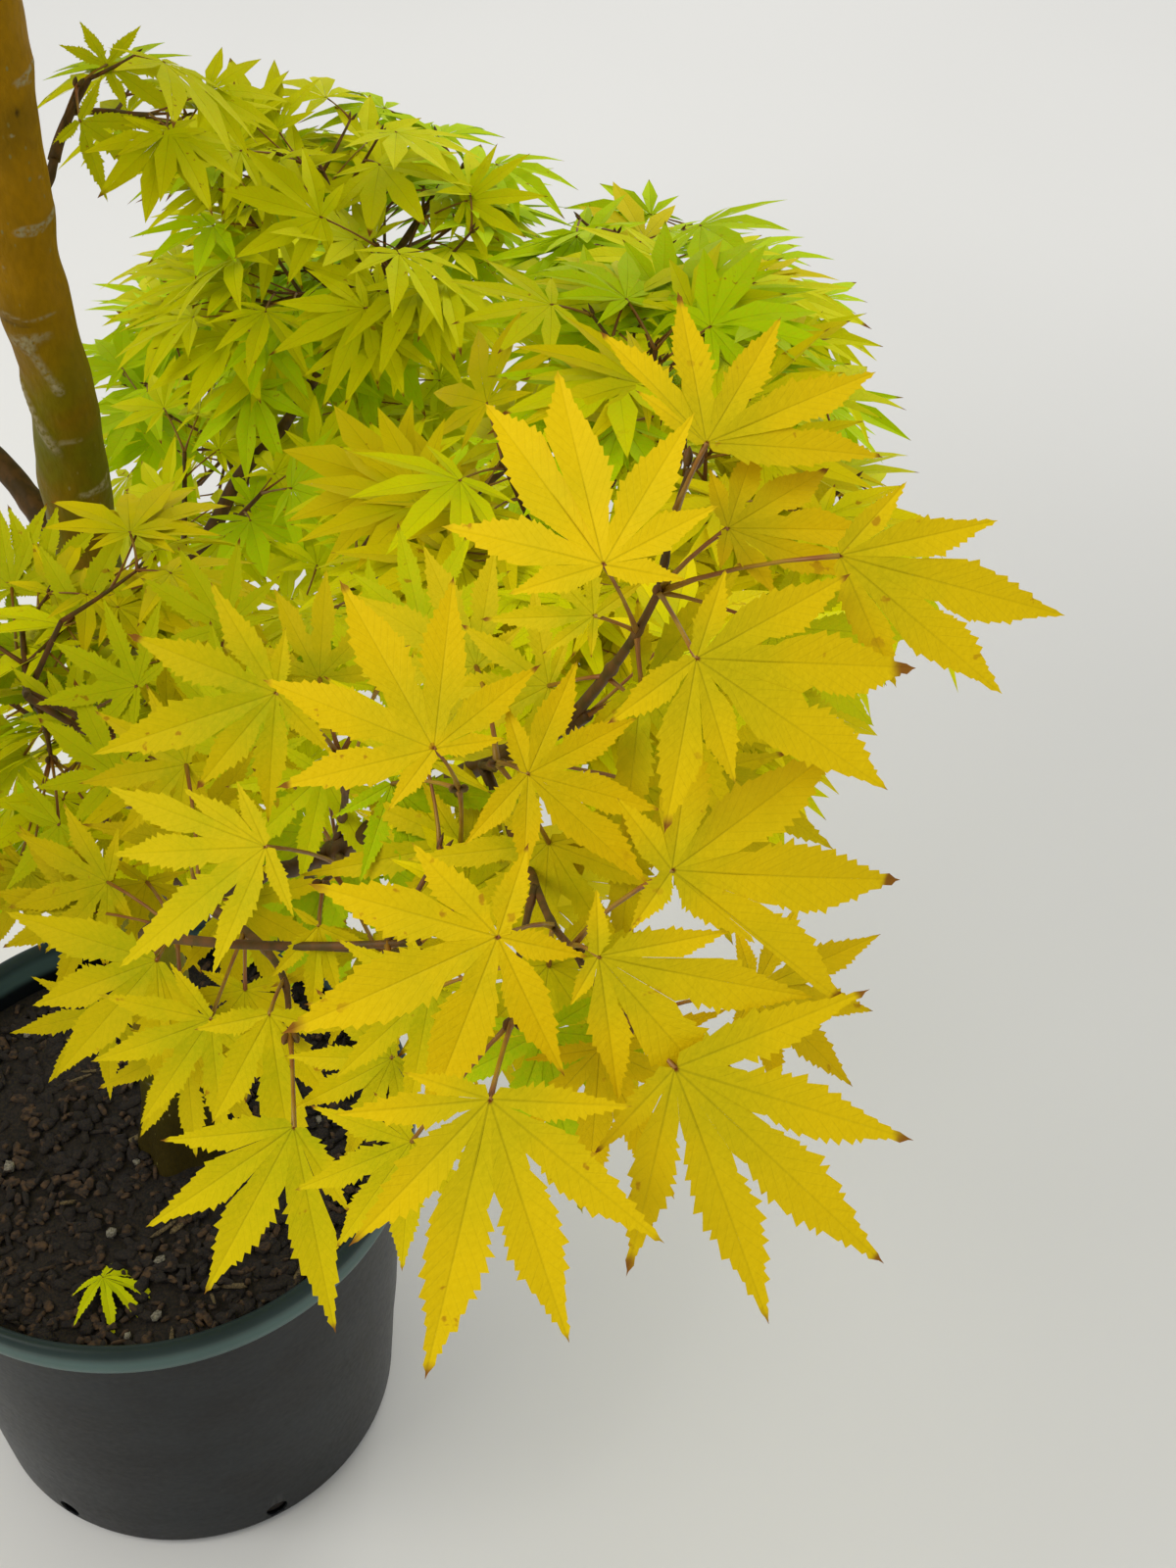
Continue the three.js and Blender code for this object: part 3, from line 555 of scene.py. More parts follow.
def mass_twigs(mass, index, carrier):
    """One mass's stem and first twigs, where the source has them."""
    _, _, heading, reach, height, wide, deep, count = mass
    middle, size = place_at(heading, reach, height), np.array([wide, wide, deep])
    start = past_tip(carrier)
    entry = unit((start - middle) / size)
    stem_end = middle - entry * size * TWIG_REACH
    ahead = unit(carrier[-1] - carrier[-2])
    bend = start + ahead * 0.4 * np.linalg.norm(stem_end - start)
    t = np.linspace(0, 1, 25)[:, None]
    stem = (1 - t) ** 2 * start + 2 * t * (1 - t) * bend + t**2 * stem_end
    joints = list(np.linspace(FIRST_JOINT, LAST_JOINT, STEM_JOINTS))
    twigs = []
    for direction in even_directions(count, first_number(SEED + index) * 2 * np.pi):
        if abs(direction @ entry) > BACKWARD_LIMIT:
            continue
        end = middle + direction * size * TWIG_REACH
        leans = [abs(lean_from(stem, joint, end) - TWIG_ANGLE) for joint in joints]
        joint = joints.pop(int(np.argmin(leans)))
        at = along_at(stem, joint)
        share = np.linspace(0, 1, 9)[:, None]
        bow = unit(along_at(stem, joint + 0.03) - at) * np.linalg.norm(end - at) * 0.09
        line = at + (end - at) * share + bow * np.sin(np.pi * share)
        if in_own_space(line, mass).all():
            twigs.append(line)
    return stem, twigs


# What the photograph shows of a point


def unseen(px, py, ahead):
    """The point that the camera sees at a pixel, at a distance ahead of it."""
    px, py, ahead = (np.asarray(v, float)[..., None] for v in (px, py, ahead))
    right = (px - PHOTO_SIZE[0] / 2) / CAMERA_FOCUS * CAMERA_RIGHT
    rise = (PHOTO_SIZE[1] / 2 - py) / CAMERA_FOCUS * CAMERA_UP
    return CAMERA_AT + ahead * (CAMERA_AHEAD + right + rise)


def seen_at(points):
    """The pixel where the camera sees each point, and its distance ahead."""
    away = points - CAMERA_AT
    ahead = away @ CAMERA_AHEAD
    safe = np.maximum(ahead, 1)
    px = PHOTO_SIZE[0] / 2 + CAMERA_FOCUS * (away @ CAMERA_RIGHT) / safe
    py = PHOTO_SIZE[1] / 2 - CAMERA_FOCUS * (away @ CAMERA_UP) / safe
    return px, py, ahead


def open_in_photo(points):
    """True where the photograph shows no foliage: inside its frame, but outside the foliage's
    outline by the crossing rule, or nearer than the nearest leaves."""
    px, py, ahead = seen_at(points)
    nearest = np.full(px.shape, float(NEAR_DEPTH))
    for left, top, right, bottom, depth in NEAR_ZONES:
        nearest[(px > left) & (px < right) & (py > top) & (py < bottom)] = depth
    framed = (ahead > 0) & (px > -LEFT_ROOM) & (px < PHOTO_SIZE[0] + EDGE_ROOM)
    framed &= (py > -EDGE_ROOM) & (py < PHOTO_SIZE[1] + EDGE_ROOM)
    x0, y0 = np.array(FOLIAGE_IN_PHOTO, float).T
    x1, y1 = np.roll(x0, -1), np.roll(y0, -1)
    px, py = px[..., None], py[..., None]
    straddles = (y0 > py) != (y1 > py)
    crossing = x0 + (py - y0) * (x1 - x0) / np.where(y1 == y0, 1, y1 - y0)
    covered = (straddles & (px < crossing)).sum(-1) % 2 == 1
    return framed & (~covered | (ahead < nearest))


# Leaves

# Lobes of a leaf as [degrees from the middle lobe, share of its length].
LOBES = [(-112, 0.45), (-72, 0.78), (-34, 0.95), (0, 1.0), (34, 0.95), (72, 0.78), (112, 0.45)]
# In shares of the leaf's length: how far out its deepest notches lie, half a lobe's width, and how
# far a tooth stands out. A blade without teeth is wider by WITHOUT_TEETH of a tooth.
NOTCH_DEPTH = 0.42
LOBE_WIDTH = 0.098
TOOTH_DEPTH = 0.034
WITHOUT_TEETH = 0.7
# A lobe's half width from its notch to its tip, in shares of its widest. At the notch it is the
# notch's own width.
LOBE_REACH = [0.0, 0.14, 0.32, 0.46, 0.6, 0.72, 0.84, 0.93, 1.0]
LOBE_SWELL = [0.0, 0.84, 1.0, 0.93, 0.71, 0.46, 0.22, 0.1, 0.0]
# The side of an outer lobe that has no neighbour: how far out it starts, and its width there.
OUTER_FOOT = (0.03, 0.045)
# Between lobes further apart than this, in radians, the notch lies nearer the stalk.
WIDE_GAP = 0.55


def saw_teeth(rng, teeth):
    """Shares of a lobe's side from its notch to its tip, and how far the edge stands out there as
    a tooth, from 0 to about 1. It rises slowly to a tooth's tip and falls off right after it."""
    if not teeth:
        return np.array([0.0, 0.34, 0.72, 1.0]), np.zeros(4)
    tips = np.linspace(0.1, 0.93, teeth) + rng.uniform(-0.024, 0.024, teeth)
    between = np.stack([tips[:-1] + 0.01, tips[1:]], -1).ravel()
    shares = np.concatenate([[0.0, tips[0]], between, [0.965, 1.0]])
    rise = np.zeros(len(shares))
    rise[1] = 0.2
    rise[3:-2:2] = rng.choice([0.45, 1.0], teeth - 1) * rng.uniform(0.8, 1.2, teeth - 1)
    return shares, rise


def leaf_shape(rng, teeth, loose, lobes=LOBES, breadth=1.0):
    """A palmate blade round the stalk's end, in shares of its length. A notch lies NOTCH_DEPTH
    times the square of the shorter lobe beside it out, and nearer in a wide gap. Along each side
    of a lobe, from its notch to its tip, the edge lies off the midrib by the notch's own width,
    fading into LOBE_SWELL times the lobe's full half width, with saw teeth that point to the tip,
    and it stays on its own side of the line to the notch. Quads join midrib and edge, and a
    triangle joins the notch to the stalk's end. Returns the points, their map as [share of the
    lobe along, across], their lobe's droop, the quads and the triangles."""
    turns, shares = np.array(lobes, float).T
    count = len(turns)
    shares = shares * (1 + loose * rng.uniform(-0.1, 0.1, count))
    angles = np.radians(turns) + loose * rng.uniform(-0.09, 0.09, count)
    gaps = np.diff(angles)
    notches = NOTCH_DEPTH * (1 + 0.6 * (breadth - 1)) * np.minimum(shares[1:], shares[:-1]) ** 2
    notches = notches * np.minimum(1, WIDE_GAP / gaps) ** 1.5
    notches = notches * (1 + rng.uniform(-0.12, 0.12, count - 1))
    tail, broad = rng.uniform(0.86, 1.1), rng.uniform(0.88, 1.12) * breadth
    droops = 1 + rng.uniform(-0.6, 0.6, count)
    widest = LOBE_WIDTH + (0 if teeth else WITHOUT_TEETH * TOOTH_DEPTH)
    points, maps, droop = [np.zeros((1, 2))], [np.zeros((1, 2))], [np.ones(1)]
    quads, triangles, held = [], [], 1
    for k, (angle, share) in enumerate(zip(angles, shares)):
        out = np.array([np.sin(angle), np.cos(angle)])
        square = np.array([out[1], -out[0]])
        for hand in (-1, 1):
            u, rise = saw_teeth(rng, teeth)
            gap = k - 1 if hand < 0 else k
            (first, wide), bound = OUTER_FOOT, np.inf
            if 0 <= gap < count - 1:
                bound = np.tan(gaps[gap] / 2)
                first = notches[gap] * np.cos(gaps[gap] / 2)
                wide = first * bound
            along = first + (share - first) * u
            fade = np.maximum(0, 1 - u / LOBE_REACH[2]) ** 2
            full = widest * share**0.8 * broad * np.interp(u**tail, LOBE_REACH, LOBE_SWELL)
            off = wide * fade + full * (1 - fade)
            off = off + TOOTH_DEPTH * share**0.5 * rise * (1 - 0.8 * u**2)
            off = np.minimum(off, bound * along * (1 - 0.03 * np.minimum(1, u / 0.1))) * (u < 1)
            ribs = len(u) - 1
            along = np.concatenate([along, along[:ribs]])
            off = hand * np.concatenate([off, np.zeros(ribs)])
            points.append(out * along[:, None] + square * off[:, None])
            maps.append(np.stack([along / share, off], -1))
            droop.append(np.full(len(along), droops[k]))
            edge = held + np.arange(ribs - 1)
            rib = edge + ribs + 1
            quads.append(np.stack([rib, edge, edge + 1, rib + 1], -1)[:, ::hand])
            web, tip = [0, held, held + ribs + 1], [held + 2 * ribs, held + ribs - 1, held + ribs]
            triangles.extend([web[::hand], tip[::hand]])
            held += 2 * ribs + 1
    return tuple(np.concatenate(v) for v in (points, maps, droop, quads)) + (np.array(triangles),)


def blades(shape, origins, sides, aways, faces, lengths, curls, folds, tones, slot):
    """Leaf blades of one shape at many places. A point lies in the blade's plane, lifted by fold
    times its way off its midrib and lowered by curl times its reach squared."""
    flat, lobe_map, droop, quads, triangles = shape
    count, each = len(origins), len(flat)
    curls, folds = (np.asarray(v, float)[:, None] for v in (curls, folds))
    rise = folds * np.abs(lobe_map[:, 1]) - curls * droop * (flat**2).sum(1)
    local = np.concatenate([np.broadcast_to(flat, (count, each, 2)), rise[..., None]], -1)
    local = local * np.asarray(lengths)[:, None, None]
    axes = np.stack([sides, aways, faces], axis=1)
    return part(
        origins[:, None] + np.einsum("nkj,nji->nki", local, axes),
        for_each(quads, count, each),
        for_each(triangles, count, each),
        uv=np.tile(lobe_map + [0, 0.5], (count, 1)),
        tone=np.repeat(tones, each),
        slot=slot,
    )


def leaf_axes(away, face_hint, roll):
    """Side, away and face directions of a leaf that points along "away", its face turned to the
    hint and then rolled."""
    away = unit(away)
    side = unit(np.cross(away, face_hint))
    face = np.cross(side, away)
    cos, sin = np.cos(roll)[:, None], np.sin(roll)[:, None]
    return side * cos + face * sin, away, face * cos - side * sin


def stalks(starts, ends, ahead, radius):
    """Leaf stalks: each leaves its joint along the twig a little and bows to the blade's base, at
    share t on a quadratic curve."""
    t = np.linspace(0, 1, 5)[None, :, None]
    starts, ends = starts[:, None], ends[:, None]
    span = np.linalg.norm(ends - starts, axis=-1, keepdims=True)
    bend = starts + (ends - starts) * 0.45 + unit(ahead)[:, None] * span * 0.08
    lines = (1 - t) ** 2 * starts + 2 * t * (1 - t) * bend + t**2 * ends
    radii = radius * np.array([1.5, 1.0, 0.85, 0.85, 1.1])[None]
    return limbs(lines, np.repeat(radii, len(lines), 0), 4)


# Materials


def linear(code):
    """An sRGB hex value, 0xRRGGBB, as linear red, green and blue."""
    value = np.array([code >> 16 & 255, code >> 8 & 255, code & 255]) / 255
    return tuple(np.where(value <= 0.04045, value / 12.92, ((value + 0.055) / 1.055) ** 2.4))


def add_node(tree, kind, inputs=None, output=0, **settings):
    """Adds a node with its settings and links, and returns one of its outputs. An input is another
    node's output or a value, and a colour is given as its red, green and blue."""
    new = tree.nodes.new("ShaderNode" + kind)
    for name, value in settings.items():
        setattr(new, name, value)
    for name, value in (inputs or {}).items():
        socket = new.inputs[name]
        if isinstance(value, bpy.types.NodeSocket):
            tree.links.new(value, socket)
        elif socket.type == "RGBA":
            socket.default_value = (*value, 1)
        else:
            socket.default_value = value
    return new.outputs[output] if new.outputs else None


def start_material(name):
    """A material with an empty tree, and add_node for that tree."""
    material = bpy.data.materials.new(name)
    material.use_nodes = True
    material.node_tree.nodes.clear()
    return material, partial(add_node, material.node_tree)


# Settings that nodes share: a share that rises smoothly between two values, and a mix of colours,
# whose inputs are 0, the share, and 6 and 7, the two colours.
SMOOTH = {"interpolation_type": "SMOOTHSTEP"}
COLOURS = {"data_type": "RGBA", "output": 2}
TIMES = {"operation": "MULTIPLY"}
PLUS = {"operation": "ADD"}
MINUS = {"operation": "SUBTRACT"}


def nursery_plastic(sizes):
    """Blow-moulded polyethylene: near black, with a soft sheen and faint mould haze, and a painted
    highlight on the rim band: grey-green, lightest over the band's outer face, fainter on the lip
    and patchy with the haze."""
    material, node = start_material("moulded_polyethylene_black")
    place = node("TexCoord", output="Object")
    haze = node("TexNoise", {"Vector": place, "Scale": 1 / (60 * MM), "Detail": 4})
    dust = node("TexNoise", {"Vector": place, "Scale": 1 / (4 * MM), "Detail": 5})
    grain = node("TexNoise", {"Vector": place, "Scale": 1 / (9 * MM), "Detail": 2})
    hazy = node("MapRange", {"Value": haze, "From Min": 0.35, "From Max": 0.7}, **SMOOTH)
    base = node("Mix", {0: hazy, 6: sizes.plastic, 7: linear(0x14181A)}, **COLOURS)
    # A painted highlight on the rim band: from the band's foot up the plastic turns lighter grey-green,
    # fading towards the lip and patchy with the haze.
    height = node("SeparateXYZ", {"Vector": place}, output="Z")
    low, high = (POT_HEIGHT - RIM_BAND_HEIGHT) * MM, POT_HEIGHT * MM
    foot = {"Value": height, "From Min": low - 0.002, "From Max": low + 0.006}
    lip = {"Value": height, "From Min": high - 0.012, "From Max": high - 0.001}
    above = node("MapRange", foot, **SMOOTH)
    below = node("MapRange", lip | {"To Min": 1, "To Max": 0}, **SMOOTH)
    fading = node("Math", {0: node("Math", {0: below, 1: 0.75}, **TIMES), 1: 0.25}, **PLUS)
    painted_rim_highlight = node("Math", {0: above, 1: fading}, **TIMES)
    patchy = node("Math", {0: node("Math", {0: haze, 1: 0.5}, **TIMES), 1: 0.6}, use_clamp=True, **PLUS)
    painted_rim_highlight = node("Math", {0: painted_rim_highlight, 1: patchy}, **TIMES)
    base = node("Mix", {0: painted_rim_highlight, 6: base, 7: sizes.painted_rim_highlight}, **COLOURS)
    rough = node("MapRange", {"Value": dust, "To Min": 0.3, "To Max": 0.46})
    bump = node("Bump", {"Height": grain, "Distance": 0.0004, "Strength": 0.35})
    look = {"Base Color": base, "Roughness": rough, "Specular IOR Level": 0.14, "Normal": bump}
    node("OutputMaterial", {"Surface": node("BsdfPrincipled", look)})
    return material


def mix_matter(name, dark, light, grain, rough):
    """Composted bark or grit: one dull colour broken by darker grain of one to four millimetres."""
    material, node = start_material(name)
    place = node("TexCoord", output="Object")
    fine = node("TexNoise", {"Vector": place, "Scale": 1 / (grain * MM), "Detail": 5})
    share = node("MapRange", {"Value": fine, "From Min": 0.32, "From Max": 0.68}, **SMOOTH)
    base = node("Mix", {0: share, 6: linear(dark), 7: linear(light)}, **COLOURS)
    finer = node("TexNoise", {"Vector": place, "Scale": 1 / (grain * 0.7 * MM), "Detail": 4})
    bump = node("Bump", {"Height": finer, "Distance": 0.0012, "Strength": 0.7})
    look = {"Base Color": base, "Roughness": rough, "Normal": bump}
    node("OutputMaterial", {"Surface": node("BsdfPrincipled", look)})
    return material


def trunk_bark(sizes):
    """Smooth young maple bark: golden olive, with fine upright fissures and pale corky specks, and
    darkened towards the foot by painted shade under the foliage. Scars and healed wounds, where
    tone is above 0, are paler. Where it is below 0 the bark is darker: painted shade in the crease
    under a joint, and dark spots."""
    material, node = start_material("smooth_olive_bark")
    place = node("TexCoord", output="Object")
    tone = node("Attribute", output="Fac", attribute_name="tone")
    # On the stretched place a pattern is twice as tall as it is wide.
    stretched = node("Mapping", {"Vector": place, "Scale": (1, 1, 0.5)})
    fissure = node("TexNoise", {"Vector": stretched, "Scale": 1 / (3 * MM), "Detail": 5})
    streaks = node("MapRange", {"Value": fissure, "From Min": 0.3, "From Max": 0.7}, **SMOOTH)
    patches = node("TexNoise", {"Vector": place, "Scale": 1 / (45 * MM), "Detail": 3})
    height = node("SeparateXYZ", {"Vector": place}, output="Z")
    wander = node("Math", {0: height, 1: node("Math", {0: patches, 1: 0.09}, **TIMES)}, **PLUS)
    high = node("MapRange", {"Value": wander, "From Min": 0.88, "From Max": 0.99}, **SMOOTH)
    base = node("Mix", {0: high, 6: linear(0x747000), 7: sizes.bark}, **COLOURS)
    golden = node("MapRange", {"Value": patches, "From Min": 0.45, "From Max": 0.7}, **SMOOTH)
    base = node("Mix", {0: golden, 6: base, 7: linear(0x8A6800)}, **COLOURS)
    # Painted shade: the bark turns dark brown-olive towards the foot, under the foliage.
    foot = {"Value": wander, "From Min": 0.33, "From Max": 0.5, "To Min": 1, "To Max": 0}
    base = node("Mix", {0: node("MapRange", foot, **SMOOTH), 6: base, 7: linear(0x3C3312)}, **COLOURS)
    faint = node("Math", {0: streaks, 1: 0.2}, **TIMES)
    base = node("Mix", {0: faint, 6: base, 7: linear(0x4E3E02)}, **COLOURS)
    cell = {"Vector": stretched, "Scale": 1 / (5 * MM)}
    far = node("TexVoronoi", cell, output="Distance", feature="F1")
    speck = {"Value": far, "From Min": 0.08, "From Max": 0.15, "To Min": 1, "To Max": 0}
    some = node("TexNoise", {"Vector": place, "Scale": 1 / (16 * MM), "Detail": 2})
    rare = node("MapRange", {"Value": some, "From Min": 0.4, "From Max": 0.52}, **SMOOTH)
    specks = node("Math", {0: node("MapRange", speck, **SMOOTH), 1: rare}, **TIMES)
    base = node("Mix", {0: specks, 6: base, 7: linear(0x8C8048)}, **COLOURS)
    crumbs = node("TexNoise", {"Vector": place, "Scale": 1 / (2.4 * MM), "Detail": 6})
    broken = node("MapRange", {"Value": crumbs, "From Min": 0.3, "From Max": 0.62}, **SMOOTH)
    marked = node("MapRange", {"Value": tone, "From Min": 0.2, "From Max": 0.8}, **SMOOTH)
    scar = node("Math", {0: marked, 1: broken}, **TIMES)
    base = node("Mix", {0: scar, 6: base, 7: linear(0xA89C7A)}, **COLOURS)
    # Where tone is below 0 the bark darkens: painted shade in the crease under the joint at 917 mm, and a
    # dark spot higher up.
    crease = {"Value": tone, "From Min": -0.9, "From Max": -0.2, "To Min": 1, "To Max": 0}
    shade = node("Math", {0: node("MapRange", crease, **SMOOTH), 1: 0.75}, **TIMES)
    base = node("Mix", {0: shade, 6: base, 7: linear(0x2A1E08)}, **COLOURS)
    relief = node("Math", {0: streaks, 1: node("Math", {0: scar, 1: 1.4}, **TIMES)}, **PLUS)
    bump = node("Bump", {"Height": relief, "Distance": 0.0005, "Strength": 0.6})
    look = {"Base Color": base, "Roughness": 0.55, "Specular IOR Level": 0.12, "Normal": bump}
    node("OutputMaterial", {"Surface": node("BsdfPrincipled", look)})
    return material


def twig_bark(sizes):
    """Young twig bark, satin: dark brown where tone is 0, and red-brown to olive on thin growth,
    whose tone is near 1."""
    material, node = start_material("satin_twig_bark")
    place = node("TexCoord", output="Object")
    tone = node("Attribute", output="Fac", attribute_name="tone")
    # On the stretched place a pattern is two and a half times as tall as it is wide.
    stretched = node("Mapping", {"Vector": place, "Scale": (1, 1, 0.4)})
    cloud = node("TexNoise", {"Vector": stretched, "Scale": 1 / (5 * MM), "Detail": 4})
    mottle = node("MapRange", {"Value": cloud, "From Min": 0.35, "From Max": 0.65}, **SMOOTH)
    old = node("Mix", {0: mottle, 6: sizes.twig, 7: linear(0x46320F)}, **COLOURS)
    young = node("Mix", {0: mottle, 6: linear(0x7A4B1E), 7: linear(0x5A4A14)}, **COLOURS)
    base = node("Mix", {0: tone, 6: old, 7: young}, **COLOURS)
    bump = node("Bump", {"Height": mottle, "Distance": 0.0003, "Strength": 0.5})
    look = {"Base Color": base, "Roughness": 0.6, "Specular IOR Level": 0.3, "Normal": bump}
    node("OutputMaterial", {"Surface": node("BsdfPrincipled", look)})
    return material


def stalk_skin():
    """Leaf stalks: thin, smooth and reddish amber."""
    material, node = start_material("amber_leaf_stalk")
    place = node("TexCoord", output="Object")
    cloud = node("TexNoise", {"Vector": place, "Scale": 1 / (14 * MM), "Detail": 2})
    share = node("MapRange", {"Value": cloud, "From Min": 0.35, "From Max": 0.65}, **SMOOTH)
    base = node("Mix", {0: share, 6: linear(0x8E5418), 7: linear(0xA07A14)}, **COLOURS)
    look = {"Base Color": base, "Roughness": 0.45}
    node("OutputMaterial", {"Surface": node("BsdfPrincipled", look)})
    return material


# The most that a lifted tint reflects of one colour: more red would turn the shaded golds orange.
BRIGHTEST_TINT = 0.84


def leaf_blade(name, colour, heart, heart_share, lift):
    """Turning maple leaf: a waxy satin blade, greener at its heart, with fine dark ribs, thin side
    veins, rusty flecks and, where tone is high, scorched tips. It reads the leaf's own map:
    along, in shares of the lobe's length, and across, in shares of the leaf's, from 0.5."""
    material, node = start_material(name)
    place = node("TexCoord", output="Object")
    tone = node("Attribute", output="Fac", attribute_name="tone")
    own_map = node("UVMap", uv_map="shape")
    along = node("SeparateXYZ", {"Vector": own_map}, output="X")
    across = node("SeparateXYZ", {"Vector": own_map}, output="Y")
    off = node("Math", {0: node("Math", {0: across, 1: 0.5}, **MINUS)}, operation="ABSOLUTE")
    # The heart's green comes in clouds, and the whole blade has a fine light grain.
    clouds = node("TexNoise", {"Vector": place, "Scale": 1 / (26 * MM), "Detail": 3})
    cloud = node("MapRange", {"Value": clouds, "From Min": 0.25, "From Max": 0.6}, **SMOOTH)
    inner = {"Value": along, "From Min": 0.1, "From Max": 0.78, "To Min": 1, "To Max": 0}
    cloud = node("Math", {0: cloud, 1: heart_share}, **TIMES)
    green = node("Math", {0: node("MapRange", inner, **SMOOTH), 1: cloud}, **TIMES)
    # A lift above 1 paints light into the blade's and the heart's colours.
    blade, middle = (
        tuple(min(BRIGHTEST_TINT, share * lift) for share in tint) for tint in (colour, linear(heart))
    )
    base = node("Mix", {0: green, 6: blade, 7: middle}, **COLOURS)
    fine = node("TexNoise", {"Vector": place, "Scale": 1 / (1.6 * MM), "Detail": 4})
    light = node("MapRange", {"Value": fine, "From Min": 0.35, "From Max": 0.7}, **SMOOTH)
    light = node("Math", {0: light, 1: 0.16}, **TIMES)
    base = node("Mix", {0: light, 6: base, 7: linear(0xF0D010)}, **COLOURS)
    # The midrib fades towards the tip. Side veins are a wave along lines that leave it slantwise.
    middle = {"Value": off, "From Min": 0.001, "From Max": 0.006, "To Min": 1, "To Max": 0}
    fade = {"Value": along, "From Min": 0.1, "From Max": 0.8, "To Min": 0.28, "To Max": 0.1}
    rib = node("Math", {0: node("MapRange", middle, **SMOOTH), 1: node("MapRange", fade)}, **TIMES)
    slant = node("Math", {0: along, 1: node("Math", {0: off, 1: 1.7}, **TIMES)}, **MINUS)
    wave = node("Math", {0: node("Math", {0: slant, 1: 92.0}, **TIMES)}, operation="SINE")
    crest = node("MapRange", {"Value": wave, "From Min": 0.9, "From Max": 1}, **SMOOTH)
    beside = node("MapRange", {"Value": off, "From Min": 0.01, "From Max": 0.02}, **SMOOTH)
    vein = node("Math", {0: node("Math", {0: crest, 1: beside}, **TIMES), 1: 0.09}, **TIMES)
    lines = node("Math", {0: rib, 1: vein}, operation="MAXIMUM")
    base = node("Mix", {0: lines, 6: base, 7: linear(0x7E7A06)}, **COLOURS)
    # Rusty flecks in patches, scorched tips with a ragged edge, and the dark end of the stalk.
    small = node("TexNoise", {"Vector": place, "Scale": 1 / (5 * MM), "Detail": 3})
    fleck = node("MapRange", {"Value": small, "From Min": 0.66, "From Max": 0.72}, **SMOOTH)
    large = node("TexNoise", {"Vector": place, "Scale": 1 / (34 * MM), "Detail": 1})
    patch = node("MapRange", {"Value": large, "From Min": 0.5, "From Max": 0.62}, **SMOOTH)
    rust = node("Math", {0: fleck, 1: node("Math", {0: patch, 1: 0.7}, **TIMES)}, **TIMES)
    base = node("Mix", {0: rust, 6: base, 7: linear(0xA8700C)}, **COLOURS)
    ragged = node("TexNoise", {"Vector": place, "Scale": 1 / (14 * MM), "Detail": 2})
    ragged = node("Math", {0: node("Math", {0: ragged, 1: 0.5}, **MINUS), 1: 0.3}, **TIMES)
    reach = node("Math", {0: along, 1: ragged}, **PLUS)
    tip = node("MapRange", {"Value": reach, "From Min": 0.92, "From Max": 0.985}, **SMOOTH)
    dry = node("MapRange", {"Value": tone, "From Min": 0.4, "From Max": 0.6}, **SMOOTH)
    burnt = node("Math", {0: tip, 1: dry}, **TIMES)
    base = node("Mix", {0: burnt, 6: base, 7: linear(0x8C5A18)}, **COLOURS)
    end = {"Value": along, "From Min": 0.006, "From Max": 0.022, "To Min": 1, "To Max": 0}
    base = node("Mix", {0: node("MapRange", end, **SMOOTH), 6: base, 7: linear(0x6B3410)}, **COLOURS)
    grain = node("TexNoise", {"Vector": place, "Scale": 1 / (1.2 * MM), "Detail": 3})
    relief = node("Math", {0: grain, 1: node("Math", {0: lines, 1: 1.6}, **TIMES)}, **MINUS)
    bump = node("Bump", {"Height": relief, "Distance": 0.0004, "Strength": 0.5})
    look = {"Base Color": base, "Roughness": 0.6, "Specular IOR Level": 0.08, "Normal": bump}
    node("OutputMaterial", {"Surface": node("BsdfPrincipled", look)})
    return material


# For each autumn tint, the colour of the blade's heart and how much of it shows.
HEARTS = {
    "gold": (0xB0AA06, 0.6),
    "yellow": (0xA4AA00, 0.75),
    "lime": (0xAABC00, 0.5),
    "green": (0x96B400, 0.5),
}
TINTS = list(HEARTS)


def leaf_materials(sizes, growth, lift):
    """The autumn tints, in the order of TINTS. A lift above 1 paints light into them: lighter copies
    of the tints for the crown, as if lit through the thin blades and out of the crown's shade."""
    return [
        leaf_blade(f"{growth}_leaf_{tint}", tuple(getattr(sizes, tint)), *HEARTS[tint], lift)
        for tint in TINTS
    ]


def studio_floor(sizes):
    """A plain painted floor, matt, with a faint unevenness in its tone."""
    material, node = start_material("plain_studio_floor")
    place = node("TexCoord", output="Object")
    cloud = node("TexNoise", {"Vector": place, "Scale": 1 / (900 * MM), "Detail": 2})
    share = node("MapRange", {"Value": cloud, "From Min": 0.2, "From Max": 0.8}, **SMOOTH)
    base = node("Mix", {0: share, 6: sizes.floor, 7: linear(0xE4E2DD)}, **COLOURS)
    look = {"Base Color": base, "Roughness": 0.9}
    node("OutputMaterial", {"Surface": node("BsdfPrincipled", look)})
    return material


# Settings


def colour_setting(name, description, code):
    """A colour that a user may change."""
    return FloatVectorProperty(
        name=name, description=description, default=linear(code), size=3, min=0, max=1, subtype="COLOR"
    )


def number_setting(name, description, default, low, high, **more):
    """A number that a user may change between two limits."""
    return FloatProperty(name=name, description=description, default=default, min=low, max=high, **more)


def count_setting(name, description, default, low, high):
    """A whole number that a user may change between two limits."""
    return IntProperty(name=name, description=description, default=default, min=low, max=high)


class MaplePotSettings(bpy.types.PropertyGroup):
    rim_roll: number_setting("Rim roll", "Height of the rolled rim's rounding, in millimetres", 6.0, 1, 8)
    turns: count_setting("Turns", "Facets round the pot", 168, 24, 360)
    plastic: colour_setting("Plastic", "Colour of the moulded plastic", 0x0A0B0C)
    # Colour of the painted highlight on the rim band.
    painted_rim_highlight: colour_setting("Highlight", "Colour of the highlighted rim", 0x526A64)
    chips: count_setting("Chips", "Bits of bark lying on the mix", 1500, 0, 4000)
    grit: count_setting("Grit", "Pale grains on the mix", 16, 0, 400)
    lumps: number_setting("Lumps", "How far the mix rises and falls, in millimetres", 3.0, 0, 8)


